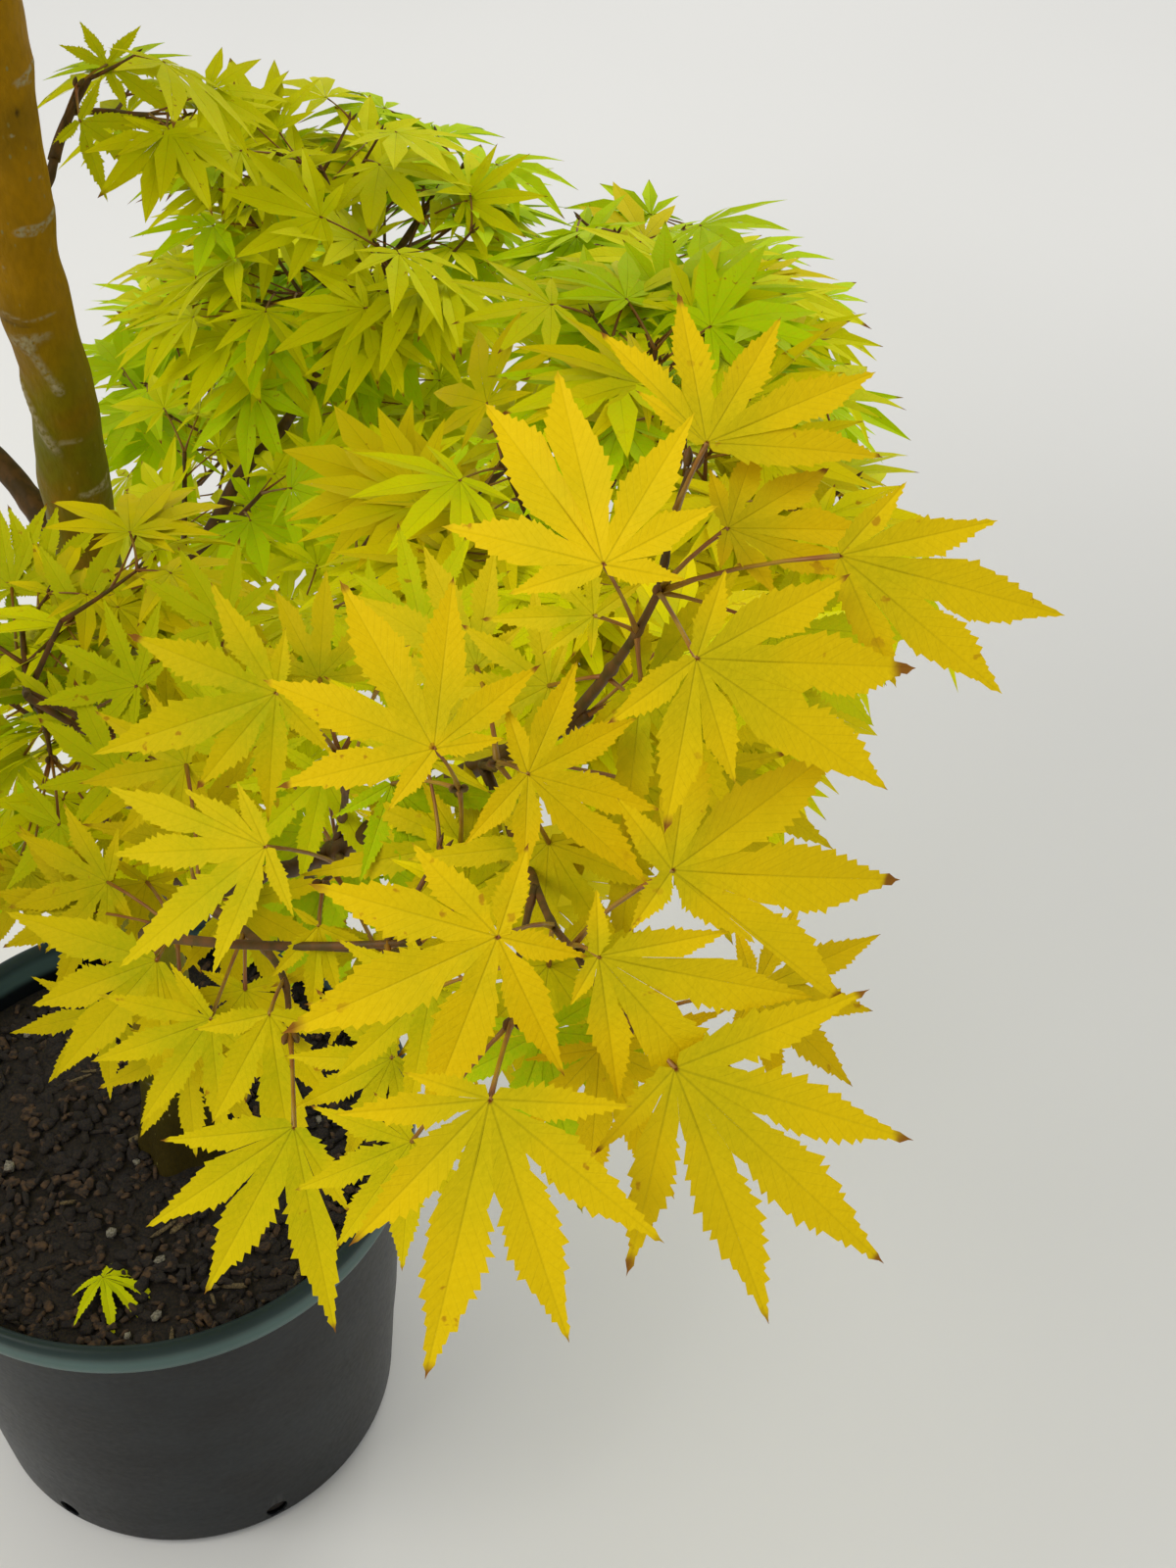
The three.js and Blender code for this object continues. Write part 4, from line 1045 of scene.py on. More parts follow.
class MapleBarkSettings(bpy.types.PropertyGroup):
    trunk_sides: count_setting("Trunk facets", "Facets round the trunk", 72, 12, 160)
    swelling: number_setting(
        "Swelling", "How far old joints stand out of the trunk, in millimetres", 1.2, 0, 4
    )
    bark: colour_setting("Bark", "Colour of the upper trunk's bark", 0xA87C00)
    twig: colour_setting("Twig", "Colour of older twigs", 0x5E431A)
    twig_radius: number_setting(
        "Twig radius", "Radius of a first twig at its foot, in millimetres", 1.8, 0.8, 4
    )


class MapleLeafSettings(bpy.types.PropertyGroup):
    length: number_setting(
        "Leaf length", "Length of a crown leaf's middle lobe, in millimetres", 52.0, 30, 90
    )
    stalk: number_setting("Stalk length", "Length of a leaf's stalk, in millimetres", 27.0, 10, 60)
    spacing: number_setting(
        "Spacing", "Least room between blades, as a share of their length", 0.36, 0.1, 1
    )
    # Painted light: the crown's leaves are painted lighter than the nearest ones by this share.
    lift: number_setting(
        "Lift", "How much lighter the crown's leaves are than the nearest ones", 1.4, 1, 2
    )
    gold: colour_setting("Gold", "Full autumn gold", 0xDEBC00)
    yellow: colour_setting("Yellow", "Clear yellow", 0xD2BC00)
    lime: colour_setting("Lime", "Yellow-green", 0xCED200)
    green: colour_setting("Green", "Leaves that have not turned", 0xB2CC00)


class MapleStageSettings(bpy.types.PropertyGroup):
    floor: colour_setting("Floor", "Colour of the plain floor", 0xE9E7E2)
    daylight: number_setting("Daylight", "Strength of the even light", 0.7, 0, 4)
    softbox: number_setting("Softbox", "Power of the large soft light", 60, 0, 500, unit="POWER")


# Operators


def pot_profile(roll):
    """The pot's wall as [radius, height]: from the middle of its underside, up the outside, over
    the rolled rim, down the inside and to the middle of its floor."""
    band_foot = POT_HEIGHT - RIM_BAND_HEIGHT
    foot, mouth, band = POT_FOOT_RADIUS, POT_MOUTH_RADIUS, POT_RIM_RADIUS
    turn = np.linspace(0.06 * np.pi, 0.94 * np.pi, 13)
    lip = [(mouth - POT_WALL + 5 + 5 * np.cos(a), POT_HEIGHT - roll + roll * np.sin(a)) for a in turn]
    rise = np.linspace(8, band_foot - 3, 9)
    outer = [(foot + WALL_SLOPE * z + 0.35 * np.sin(z / 14), z) for z in rise]
    inner = [(foot + WALL_SLOPE * z - POT_WALL, z) for z in np.linspace(band_foot, 3, 8)]
    return [
        (0, 2.2), (foot - 30, 2.2), (foot - 24, 0.2), (foot - 8, 0), (foot - 3.5, 1), (foot - 0.6, 4),
        *outer, (mouth - 0.2, band_foot - 1), (mouth + 0.6, band_foot + 0.4),
        (band - 3.4, band_foot + 1.0), (band - 1.6, band_foot + 2.4), (band - 0.7, band_foot + 4.6),
        (band - 0.1, band_foot + 8), (band, band_foot + 11), (band - 0.3, band_foot + 15),
        *lip, (mouth - POT_WALL, POT_HEIGHT - roll - 3), *inner, (0, 3),
    ]  # fmt: skip


def drain_limbs():
    """Round bars through the pot's wall, which the drain holes are cut with."""
    lines = []
    for k in range(DRAIN_COUNT):
        angle = (k + 0.5) * 2 * np.pi / DRAIN_COUNT + np.pi / 2
        out = np.array([np.cos(angle), np.sin(angle), 0])
        lines.append([DRAIN_HEIGHT * UP + out * (POT_FOOT_RADIUS + past) for past in (-12, 12)])
    return limbs(lines, np.full((DRAIN_COUNT, 2), DRAIN_RADIUS), 20)


class MAPLE_OT_pot(bpy.types.Operator):
    """Makes the nursery pot: a tapered shell with a rolled rim band and drain holes"""

    bl_idname = "maple.pot"
    bl_label = "Pot"

    def execute(self, context):
        settings = context.scene.maple_pot
        shape = turned(pot_profile(settings.rim_roll), settings.turns)
        pot = make_piece("pot_shell", shape, [nursery_plastic(settings)], ["pot"])
        cutter = make_piece("drain_cutter", drain_limbs(), [])
        modifier = pot.modifiers.new("drains", "BOOLEAN")
        modifier.object, modifier.solver = cutter, "EXACT"
        graph = context.evaluated_depsgraph_get()
        whole = bpy.data.meshes.new_from_object(pot.evaluated_get(graph))
        pot.modifiers.clear()
        pot.data = whole
        bpy.data.objects.remove(cutter)
        pot.data.shade_smooth()
        sharp = pot.modifiers.new("even_normals", "WEIGHTED_NORMAL")
        sharp.keep_sharp = True
        return {"FINISHED"}


# The lumps of the mix's top, as waves of [millimetres wide, phase, share], and its lower rows'
# heights. MIX_REACH is how far from the pot's middle it goes.
LUMP_WAVES = [(31, 0.4, 0.5), (13, 1.9, 0.35), (5.5, 3.1, 0.3), (2.9, 4.4, 0.22)]
MIX_LOW_ROWS = (262, 12, 5)
MIX_REACH = POT_MOUTH_RADIUS - POT_WALL - 1.4


def mix_body(lumps):
    """The mix as one closed solid: a lumpy top that sinks a little at its edge, and a lower part
    that follows the inside of the pot's wall."""
    rows, turns = 46, 150
    radius = MIX_REACH * (np.arange(1, rows) / (rows - 1))[:, None]
    angle = (np.arange(turns) * 2 * np.pi / turns)[None]
    x, y = radius * np.cos(angle), radius * np.sin(angle)
    waves = sum(
        np.sin(x / wide + phase) * np.cos(y / (wide * 0.8) + 2 * phase) * share
        for wide, phase, share in LUMP_WAVES
    )
    edge = np.clip((MIX_REACH - radius) / 10, 0, 1)
    z = MIX_TOP + lumps * waves * (0.35 + 0.65 * edge) - 2.5 * (1 - edge)
    points = [np.stack([x, y, z], -1).reshape(-1, 3)]
    for height in MIX_LOW_ROWS:
        share = (POT_FOOT_RADIUS + WALL_SLOPE * height - POT_WALL - 0.6) / MIX_REACH
        points.append(np.stack([x[-1] * share, y[-1] * share, np.full(turns, height)], -1))
    points.append([[0, 0, MIX_TOP], [0, 0, MIX_LOW_ROWS[-1]]])
    rows += len(MIX_LOW_ROWS) - 1
    quads, fans = closed_rows(rows, turns), closing_fans(rows, turns)
    return part(np.concatenate(points), quads[:, ::-1], fans[:, ::-1])


def spun(first, second, angle):
    """Two coordinates turned in their plane, each copy of a shape by its own angle."""
    cos, sin = np.cos(angle)[:, None], np.sin(angle)[:, None]
    return first * cos - second * sin, first * sin + second * cos


def signed_power(value, power):
    """A power of a number's size that keeps its sign."""
    return np.sign(value) * np.abs(value) ** power


def mix_bits(rng, number, sizes, rise, slot):
    """Bits as squared ellipsoids: at angles a and b a point is signed powers of their sines and
    cosines, stretched, roughened, tipped and turned. They lie all over the mix."""
    rows, turns = 3, 7
    a = (np.arange(1, rows + 1) * np.pi / 4 - np.pi / 2)[:, None]
    b = (np.arange(turns) * 2 * np.pi / turns)[None]
    level = signed_power(np.cos(a), 0.5)
    across, along = signed_power(np.cos(b), 0.7), signed_power(np.sin(b), 0.7)
    grid = np.stack([level * across, level * along, signed_power(np.sin(a), 0.6) + 0 * b], -1)
    grid = np.concatenate([grid.reshape(-1, 3), [[0, 0, -1], [0, 0, 1]]])
    scale = rng.uniform(*np.array(sizes).T, (number, 3)) / 2
    rough = 1 + rng.normal(0, 0.16, (number, len(grid), 1))
    local = grid[None] * rough * scale[:, None]
    turn, tip = rng.uniform(0, 2 * np.pi, number), rng.normal(0, 0.28, number)
    x, z = spun(local[..., 0], local[..., 2], tip)
    x, y = spun(x, local[..., 1], turn)
    far = (MIX_REACH - 9) * np.sqrt(rng.uniform(0.0, 1, number))
    way = rng.uniform(0, 2 * np.pi, number)
    x, y = x + (far * np.cos(way))[:, None], y + (far * np.sin(way))[:, None]
    points = np.stack([x, y, z + MIX_TOP + rise], -1)
    faces = (closed_rows(rows, turns), closing_fans(rows, turns))
    return part(points, *(for_each(f, number, len(grid)) for f in faces), slot=slot)


class MAPLE_OT_mix(bpy.types.Operator):
    """Makes the potting mix with its bark chips, pale grit and a fallen leaf"""

    bl_idname = "maple.mix"
    bl_label = "Potting mix"

    def execute(self, context):
        settings = context.scene.maple_pot
        rng = np.random.default_rng(5)
        soil = mix_matter("composted_bark", 0x0E0A06, 0x2A2014, 2.2, 0.95)
        body = mix_body(settings.lumps)
        make_piece("potting_mix_body", body, [soil], ["potting_mix"])
        half = settings.chips // 2
        bits = [
            mix_bits(rng, half, [(5, 17), (3, 10), (1.5, 4)], 1.5, 0),
            mix_bits(rng, half, [(2, 12), (2, 7), (1.5, 3.5)], 2.0, 1),
            mix_bits(rng, settings.chips // 60, [(10, 34), (2, 5), (1.2, 2.4)], 3.0, 2),
            mix_bits(rng, settings.grit, [(4, 9), (4, 8), (3, 6)], 2.5, 3),
        ]
        matters = [
            mix_matter("dark_bark_chip", 0x120D08, 0x2A1F14, 1.6, 0.9),
            mix_matter("brown_bark_chip", 0x20170E, 0x523B22, 3.6, 0.88),
            mix_matter("straw_bit", 0x3A2D18, 0x74623C, 1.2, 0.8),
            mix_matter("pale_grit", 0x5C5648, 0x98917F, 1.4, 0.85),
        ]
        make_piece("mix_chips", gather(bits), matters)
        shape = leaf_shape(rng, 9, 1.0)
        base = np.array([[-14.0, -104.0, MIX_TOP + 7]])
        away = unit(np.array([[0.75, -0.6, 0.12]]))
        axes = leaf_axes(away, UP[None], np.array([0.25]))
        fallen = blades(shape, base, *axes, [43.0], [0.6], [0.35], [0.2], 0)
        lime = tuple(context.scene.maple_leaf.lime)
        tint = leaf_blade("fallen_leaf_lime", lime, 0xA0BC00, 0.5, 1.0)
        make_piece("fallen_leaf", fallen, [tint])
        return {"FINISHED"}


# Swollen joints as [height, half-height, share], and scars that run part of the way round as
# [height, half-thickness, degrees of their middle, half their degrees, share].
JOINTS = [
    (917, 13, 1.0), (815, 11, 0.7), (700, 11, 0.7), (590, 12, 0.8), (470, 12, 0.7), (370, 12, 0.7),
    (1032, 9, 0.4), (963, 9, 0.5), (1105, 10, 0.5),
]  # fmt: skip
SCARS = [
    (1032, 1.3, -14, 42, 1.0), (1028, 1.0, -30, 20, 0.6), (963, 1.5, -39, 52, 1.0),
    (959, 1.0, -60, 26, 0.6), (917, 1.2, -96, 68, 0.6), (907, 4.0, -97, 44, 0.6),
    (815, 1.9, -40, 36, 0.9), (818, 1.2, -18, 20, 0.7), (848, 1.6, -72, 22, 0.6),
    (1008, 0.8, -70, 6, 0.8), (985, 0.8, -25, 7, 0.8), (945, 0.8, -112, 6, 0.8),
    (742, 1.3, 60, 70, 0.7), (690, 1.5, -120, 60, 0.8), (655, 1.2, 20, 50, 0.6),
    (600, 1.5, -60, 70, 0.8), (560, 1.3, 150, 60, 0.7), (505, 1.4, -20, 60, 0.7),
    (452, 1.4, -140, 80, 0.7), (400, 1.2, 40, 50, 0.6), (350, 1.4, -80, 60, 0.7),
    (1118, 1.4, 100, 70, 0.7), (1075, 1.2, -130, 50, 0.7), (1150, 1.4, -10, 60, 0.7),
    (880, 1.3, 90, 50, 0.7), (1000, 1.3, 160, 60, 0.8),
]  # fmt: skip


def trunk_relief(heights, angles, swelling):
    """What the bark adds to the trunk's radius, and its tone: swellings at old joints as bells of
    height, broken scars, healed wounds, and a slow unevenness of sines."""
    h, a = heights[:, None], angles[None]

    def round_from(degrees):
        """Degrees round the trunk from a heading, -180 to 180."""
        return np.degrees(np.angle(np.exp(1j * (a - np.radians(degrees)))))

    relief = 0.35 * np.sin(h / 21 + 2 * a) + 0.25 * np.sin(h / 9.5 - 3 * a) + 0.16 * np.sin(h / 4.1 + 5 * a)
    tone = np.zeros_like(relief)
    for at, width, rise in JOINTS:
        relief += swelling * rise * np.exp(-(((h - at) / width) ** 2)) * (1 + 0.35 * np.cos(a - at))
    for at, width, middle, half, share in SCARS:
        off = round_from(middle)
        wander = at + 1.6 * np.sin(2 * a + at) + 0.9 * np.sin(5 * a + at)
        band = np.exp(-(((h - wander) / (1.3 * width)) ** 2) - (off / half) ** 6)
        tone += share * band
        relief += 0.3 * band
    # A crease under the joint at 917 mm, darkened by painted shade, and a small dark spot higher up.
    dark = np.exp(-(((h - 913 - 2 * np.sin(a * 2)) / 2.0) ** 2) - (round_from(-100) / 60) ** 6)
    tone -= 0.6 * dark
    relief -= 0.5 * dark
    spot = np.exp(-(((h - 1018) / 2.4) ** 2) - (round_from(-54) / 5) ** 2)
    tone -= spot
    # A healed wound that slants round the trunk, a bump at its foot and a slanting ridge below it.
    slant = round_from(-77 - (h - 877) * 33 / 31)
    wound = np.exp(-((slant / 11) ** 2) - ((h - 891) / 17) ** 6)
    bump = np.exp(-(((h - 878) / 3) ** 2) - (round_from(-76) / 8) ** 2)
    slant = round_from(-99 - (h - 842) * 66 / 37)
    ridge = np.exp(-((slant / 13) ** 2) - ((h - 860) / 21) ** 6)
    tone += 0.7 * wound + 0.8 * bump + 0.9 * ridge
    relief += 0.7 * wound + 1.2 * bump + 2.4 * ridge
    return relief, np.clip(tone, -1, 1)


TRUNK_STEPS = 560
BOUGH_STEPS = 90
BOUGH_SIDES = 16


def bough_radii(number, line, root, tip):
    """A bough's radius along and round it: a collar at its root, a swollen joint every 64 mm, and
    a slow unevenness of sines."""
    along = np.linspace(0, 1, BOUGH_STEPS)[:, None]
    angle = np.arange(BOUGH_SIDES) * 2 * np.pi / BOUGH_SIDES
    length = np.linalg.norm(line[-1] - line[0]) * along
    radius = (root + (tip - root) * along) * (1 + 0.45 * np.exp(-along / 0.05))
    joint = np.exp(-((((length + 17 * number) % 64 - 32) / 4.5) ** 2))
    radius = radius * (1 + 0.13 * joint * np.exp(-along / 4))
    return radius + 0.16 * np.sin(length / 6 + 2 * angle) + 0.1 * np.sin(length / 2.4 - 3 * angle)


class MAPLE_OT_bark(bpy.types.Operator):
    """Makes the trunk and boughs with the relief of their bark"""

    bl_idname = "maple.bark"
    bl_label = "Trunk and boughs"

    def execute(self, context):
        settings = context.scene.maple_bark
        line = trunk_line(TRUNK_STEPS)
        share = np.linspace(0, 1, TRUNK_STEPS)
        above = np.maximum(0, share * TRUNK_RISE - TRUNK_ROOTED)
        angle = np.arange(settings.trunk_sides) * 2 * np.pi / settings.trunk_sides
        flare = np.exp(-above / 34)[:, None] * 10 * (0.7 + 0.3 * np.cos(5 * angle))
        relief, tone = trunk_relief(line[:, 2], angle + np.pi, settings.swelling)
        fade = np.clip((share - 0.002) / 0.02, 0, 1)[:, None]
        radii = (20 - 6 * share)[:, None] + flare + relief * fade
        trunk = limbs(line[None], radii[None], settings.trunk_sides)
        trunk["tone"] = np.concatenate([tone.ravel(), [0, 0]])
        bark = trunk_bark(settings)
        make_piece("trunk_bark", trunk, [bark], ["trunk"])
        lines = bough_lines(BOUGH_STEPS)
        boughs = {}
        for number, (name, _, _, _, _, root, tip, _) in enumerate(BOUGHS):
            line = lines[name]
            radii = bough_radii(number, line, root, tip)
            tone = 0.0 if name == "leader_bough" else 0.12
            boughs[name] = limbs(line[None], radii[None], BOUGH_SIDES, tone=tone)
        leader = boughs.pop("leader_bough")
        make_piece("leader_bark", leader, [bark], ["leader_bough"])
        skin = twig_bark(settings)
        make_piece("bough_bark", gather(list(boughs.values())), [skin], list(boughs))
        return {"FINISHED"}


# The middle and the tip of a blade, as shares of its length.
MIDDLE_AND_TIP = np.array([[0.55], [1.0]])
# How often a crown leaf is drawn, at most, until it fits.
LEAF_TRIES = 5


def leaf_from(rng, foot, ahead, beside, at, middle, leaf_length, stalk):
    """A leaf from a joint of a twig: its base, direction and length. It spreads from the twig, less
    at the twig's end, leans out from a middle point, and lies near level, drooping a little."""
    spread = np.radians(rng.uniform(22, 40) if at == 1 else rng.uniform(50, 78))
    away = ahead * np.cos(spread) + beside * np.sin(spread) + 0.35 * unit(foot - middle)
    away = away - UP * rng.uniform(-0.2, 0.32) + rng.normal(0, 0.12, 3)
    away = unit(away * [1, 1, LEVEL_SHARE] - UP * LEAF_DROOP)
    length = leaf_length * rng.uniform(0.82, 1.12)
    return foot + unit(away * 0.8 + UP * 0.25) * stalk * rng.uniform(0.7, 1.3), away, length


def clear_of(base, tips, centres, room):
    """True where a leaf keeps out of the photograph's open parts, and its middle lies at least so
    far from the middles of the blades that are there."""
    if open_in_photo(np.vstack([base, tips])).any():
        return False
    return not len(centres) or np.linalg.norm(centres - tips[0], axis=1).min() >= room


def rising_line(foot, reach, rise, steps):
    """A twig from its foot along a vector, with its end bowed up."""
    t = np.linspace(0, 1, steps)[:, None]
    return foot + reach * t + UP * rise * t**2


def spray_leaves(rng, twig, way, leaf_length, stalk):
    """Leaves in opposite pairs at a side twig's joints, from its tip back: each as its joint's
    share of the twig, its joint, and its base, direction and length."""
    beside = unit(np.cross(way, UP))
    for joint in (1.0, 0.78, 0.56, 0.34):
        start = along_at(twig, joint)
        for side in (-1, 1):
            leaf = leaf_from(rng, start, way, beside * side, joint, twig[0], leaf_length * 0.9, stalk)
            yield joint, start, *leaf


def bough_sprays(lines, leaf_length, stalk, spacing):
    """Small leafy side twigs on the outer part of each bough that carries a mass, in opposite
    pairs, where they are clear of every mass and of the views that the photograph has."""
    growth = []
    for index, mass in enumerate(MASSES):
        rng = np.random.default_rng(SEED + 100 + index)
        line = lines[mass[1]]
        span = np.linalg.norm(line[-1] - line[0])
        twigs, leaves, centres = [], [], np.zeros((0, 3))
        for at in np.arange(0.4, 0.99, 46 / span):
            foot, ahead = along_at(line, at), heading_at(line, at)
            flat = unit(np.cross(ahead, UP))
            for hand in (-1, 1):
                bend = np.radians(rng.uniform(35, 65))
                lift = UP * rng.uniform(-0.1, 0.4)
                way = unit(ahead * np.cos(bend) + flat * hand * np.sin(bend) + lift)
                long = rng.uniform(45, 95) * (0.6 + 0.5 * at)
                twig = rising_line(foot, way * long, long * 0.12, 9)
                inside = min(share_out(twig[3:], other).min() for other in MASSES) < 1
                if inside or open_in_photo(twig[3:]).any():
                    continue
                kept = 0
                sprouts = spray_leaves(rng, twig, way, leaf_length, stalk)
                for joint, start, base, away, length in sprouts:
                    tips = base + away * length * MIDDLE_AND_TIP
                    if not inside_box(tips) or not clear_of(base, tips, centres, spacing * length):
                        continue
                    centres = np.vstack([centres, tips[:1]])
                    leaves.append((start, base, away, way, length, len(twigs)))
                    kept = max(kept, joint)
                if kept:
                    twigs.append(along_at(twig, np.linspace(0, kept, 9)))
        tints = rng.uniform(0, 1, len(twigs) + 1)
        growth.append(grown(mass, None, twigs, [], leaves, tints))
    return growth


def grown(mass, stem, twigs, twiglets, leaves, tints):
    """What has grown on one mass, by name, with a number from 0 to 1 for each spray's tint."""
    own = {"mass": mass, "middle": place_at(*mass[2:5]), "stem": stem, "twigs": twigs}
    return own | {"twiglets": twiglets, "leaves": leaves, "tints": tints}


def mass_twiglets(rng, mass, sprays):
    """Twiglets in opposite pairs at the joints of a mass's stem and twigs, each as its line and
    its share of the spray that carries it. Also the joints that leaves may leave: each as its
    line, its share of that, its spray's number and its twiglet's, or None on a spray itself."""
    twiglets, joints = [], []
    for spray, twig in enumerate(sprays):
        for k, at in enumerate((0.5, 0.72, 0.9) if spray == 0 else (0.34, 0.58, 0.8)):
            foot, ahead = along_at(twig, at), heading_at(twig, at, 0.05, 0.05)
            flat = unit(np.cross(ahead, UP))
            spin = (k % 2) * np.pi / 2 * 0.7 + rng.uniform(-0.4, 0.4)
            out = flat * np.cos(spin) + np.cross(flat, ahead) * np.sin(spin)
            for hand in (-1, 1):
                bend = np.radians(rng.uniform(42, 62))
                way = ahead * np.cos(bend) + hand * out * np.sin(bend)
                way = unit(way + UP * rng.uniform(0.0, 0.25))
                long = mass[5] * rng.uniform(0.34, 0.5) * (1.15 - 0.5 * at)
                line = rising_line(foot, way * long, long * 0.1, 6)
                if not in_own_space(line[2:], mass, 0.86).all():
                    line = rising_line(foot, way * long * 0.55, 0, 6)
                    if not in_own_space(line[2:], mass, 0.9).all():
                        continue
                if open_in_photo(line[2:]).any():
                    continue
                joints.extend((line, share, spray, len(twiglets)) for share in (1.0, 0.74, 0.48))
                twiglets.append((line, at))
        long_twig = np.linalg.norm(twig[-1] - twig[0]) > 60
        own_joints = (1.0, 0.9, 0.7) if long_twig else (1.0, 0.9)
        joints.extend((twig, share, spray, None) for share in own_joints)
    return twiglets, joints


def mass_leaves(rng, mass, joints, leaf_length, stalk, spacing):
    """Leaves in opposite pairs at joints. A leaf that leaves the mass's space, blocks a view that
    the photograph has, or crowds another blade is drawn again, and after LEAF_TRIES left out.
    Returns each leaf as the point where its stalk starts, its base, its direction, its twig's
    direction, its length and its spray, and the joint that each is on."""
    middle = place_at(*mass[2:5])
    leaves, bearing, centres = [], [], np.zeros((0, 3))
    for joint in joints:
        line, at, spray, _ = joint
        foot, ahead = along_at(line, at), heading_at(line, at, 0.08, 0.02)
        flat = unit(np.cross(ahead, UP))
        for side in (-1, 1):
            for _ in range(LEAF_TRIES):
                leaf = leaf_from(rng, foot, ahead, flat * side, at, middle, leaf_length, stalk)
                base, away, length = leaf
                tips = base + away * length * MIDDLE_AND_TIP
                if not in_own_space(np.vstack([base, tips[:1]]), mass).all():
                    continue
                if share_out(tips[1:], mass)[0] > 1.14 or not inside_box(tips):
                    continue
                if not clear_of(base, tips, centres, spacing * length):
                    continue
                centres = np.vstack([centres, tips[:1]])
                leaves.append((foot, base, away, ahead, length, spray))
                bearing.append(joint)
                break
    return leaves, bearing


def crown_growth(leaf_length, stalk, spacing):
    """Every mass's stem, twigs, twiglets and leaves, each limb cut off past the last thing that it
    carries, and the boughs' side sprays."""
    lines = bough_lines(60)
    growth = []
    for index, mass in enumerate(MASSES):
        rng = np.random.default_rng(SEED + index)
        stem, twigs = mass_twigs(mass, index, lines[mass[1]])
        if mass[0] in FRONT_MASSES:
            stem = stem[seen_at(stem)[2] > NEAR_DEPTH]
        twigs = [t for t in twigs if not open_in_photo(t[-2:]).any()]
        twiglets, joints = mass_twiglets(rng, mass, [stem, *twigs])
        tints = rng.uniform(0, 1, len(twigs) + 1)
        leaves, bearing = mass_leaves(rng, mass, joints, leaf_length, stalk, spacing)
        used, used_twiglets = np.zeros(len(twigs) + 1), {}
        for _, at, spray, twiglet in bearing:
            if twiglet is not None:
                used_twiglets[twiglet] = max(used_twiglets.get(twiglet, 0), at)
                at = twiglets[twiglet][1]
            used[spray] = max(used[spray], at)
        ends = sorted(used_twiglets.items())
        twiglets = [along_at(twiglets[k][0], np.linspace(0, at, 6)) for k, at in ends]
        twigs = [along_at(t, np.linspace(0, at, 9)) for t, at in zip(twigs, used[1:]) if at > 0]
        reach = np.linspace(0, 1, len(stem))
        feet = [reach[np.argmin(np.linalg.norm(stem - t[0], axis=1))] for t in twigs]
        stem = along_at(stem, np.linspace(0, max([used[0], *feet]), 14))
        growth.append(grown(mass, stem, twigs, twiglets, leaves, tints))
    return growth + bough_sprays(lines, leaf_length, stalk, spacing)


# How much of a mass is green or lime, where that isn't OTHER_GREEN_SHARE.
GREEN_SHARE = {
    "front_foliage": 0.2, "front_side_foliage": 0.35, "front_left_foliage": 0.15,
    "inner_front_foliage": 0.35, "right_front_foliage": 0.85, "right_foliage": 0.95,
    "back_right_foliage": 0.95, "low_back_foliage": 0.95, "spur_foliage": 0.9,
    "mid_right_foliage": 0.4, "mid_back_foliage": 0.5, "back_left_foliage": 0.4,
    "left_foliage": 0.25,
}  # fmt: skip
OTHER_GREEN_SHARE = 0.15


def tint_for(mass_name, share, height):
    """The number of a spray's tint in TINTS, dealt out by its place: lower and inner masses are
    greener, and within a mass the low leaves are."""
    green = GREEN_SHARE.get(mass_name, OTHER_GREEN_SHARE) + 0.12 * (height < -0.3)
    if share < green * 0.3:
        return TINTS.index("green")
    if share < green:
        return TINTS.index("lime")
    return TINTS.index("yellow" if share < green + (1 - green) * 0.5 else "gold")


def tapered(lines, root, tip, sides, tone):
    """Limbs along lines of as many steps each, all of which taper from one radius to another."""
    lines = np.stack(lines)
    radii = np.tile(np.linspace(root, tip, lines.shape[1]), (len(lines), 1))
    return limbs(lines, radii, sides, tone=tone)


def mass_wood(own, thin):
    """A mass's stem, twigs and twiglets, with a pair of buds at each twiglet's end."""
    wood = []
    if own["stem"] is not None:
        wood.append(tapered([own["stem"]], 3.2, 1.7, 8, 0.15))
    if own["twigs"]:
        wood.append(tapered(own["twigs"], thin, 1.15, 6, 0.45))
    if own["twiglets"]:
        wood.append(tapered(own["twiglets"], 1.2, 0.7, 5, 0.9))
        ends, before = (np.stack([line[k] for line in own["twiglets"]]) for k in (-1, -2))
        ahead = unit(ends - before)
        side = unit(np.cross(ahead, UP))
        for hand in (-0.9, 0.9):
            way = (ahead + side * hand * 0.25)[:, None]
            bud = (ends + side * hand)[:, None] + way * np.array([0, 1.4, 3.4, 5.0])[:, None]
            wood.append(limbs(bud, np.tile([0.6, 0.9, 0.6, 0.1], (len(bud), 1)), 5, tone=0.6))
    return wood


def mass_blades(rng, own, shapes):
    """A mass's leaf blades by shape and tint, and their stalks."""
    foot, base, away, ahead, length, spray = (np.array(v) for v in zip(*own["leaves"]))
    count = len(foot)
    roll = rng.uniform(-0.5, 0.5, count)
    outward = unit(base - own["middle"])
    side, away, face = leaf_axes(away, unit(UP * 0.9 + outward * 0.35), roll)
    kind = rng.integers(0, len(shapes), count)
    rise = (base[:, 2] - own["middle"][2]) / own["mass"][6]
    share = np.clip(own["tints"][spray] + rng.normal(0, 0.06, count), 0, 1)
    tint = np.array([tint_for(own["mass"][0], a, b) for a, b in zip(share, rise)])
    curl, fold = rng.uniform(0.08, 0.34, count), rng.uniform(0.1, 0.5, count)
    values = (base, side, away, face, length, curl, fold, rng.uniform(0, 1, count))
    made = []
    for k, shape in enumerate(shapes):
        for t in range(len(TINTS)):
            pick = (kind == k) & (tint == t)
            if pick.any():
                made.append(blades(shape, *(v[pick] for v in values), t))
    return made, stalks(foot, base, ahead, 0.62)


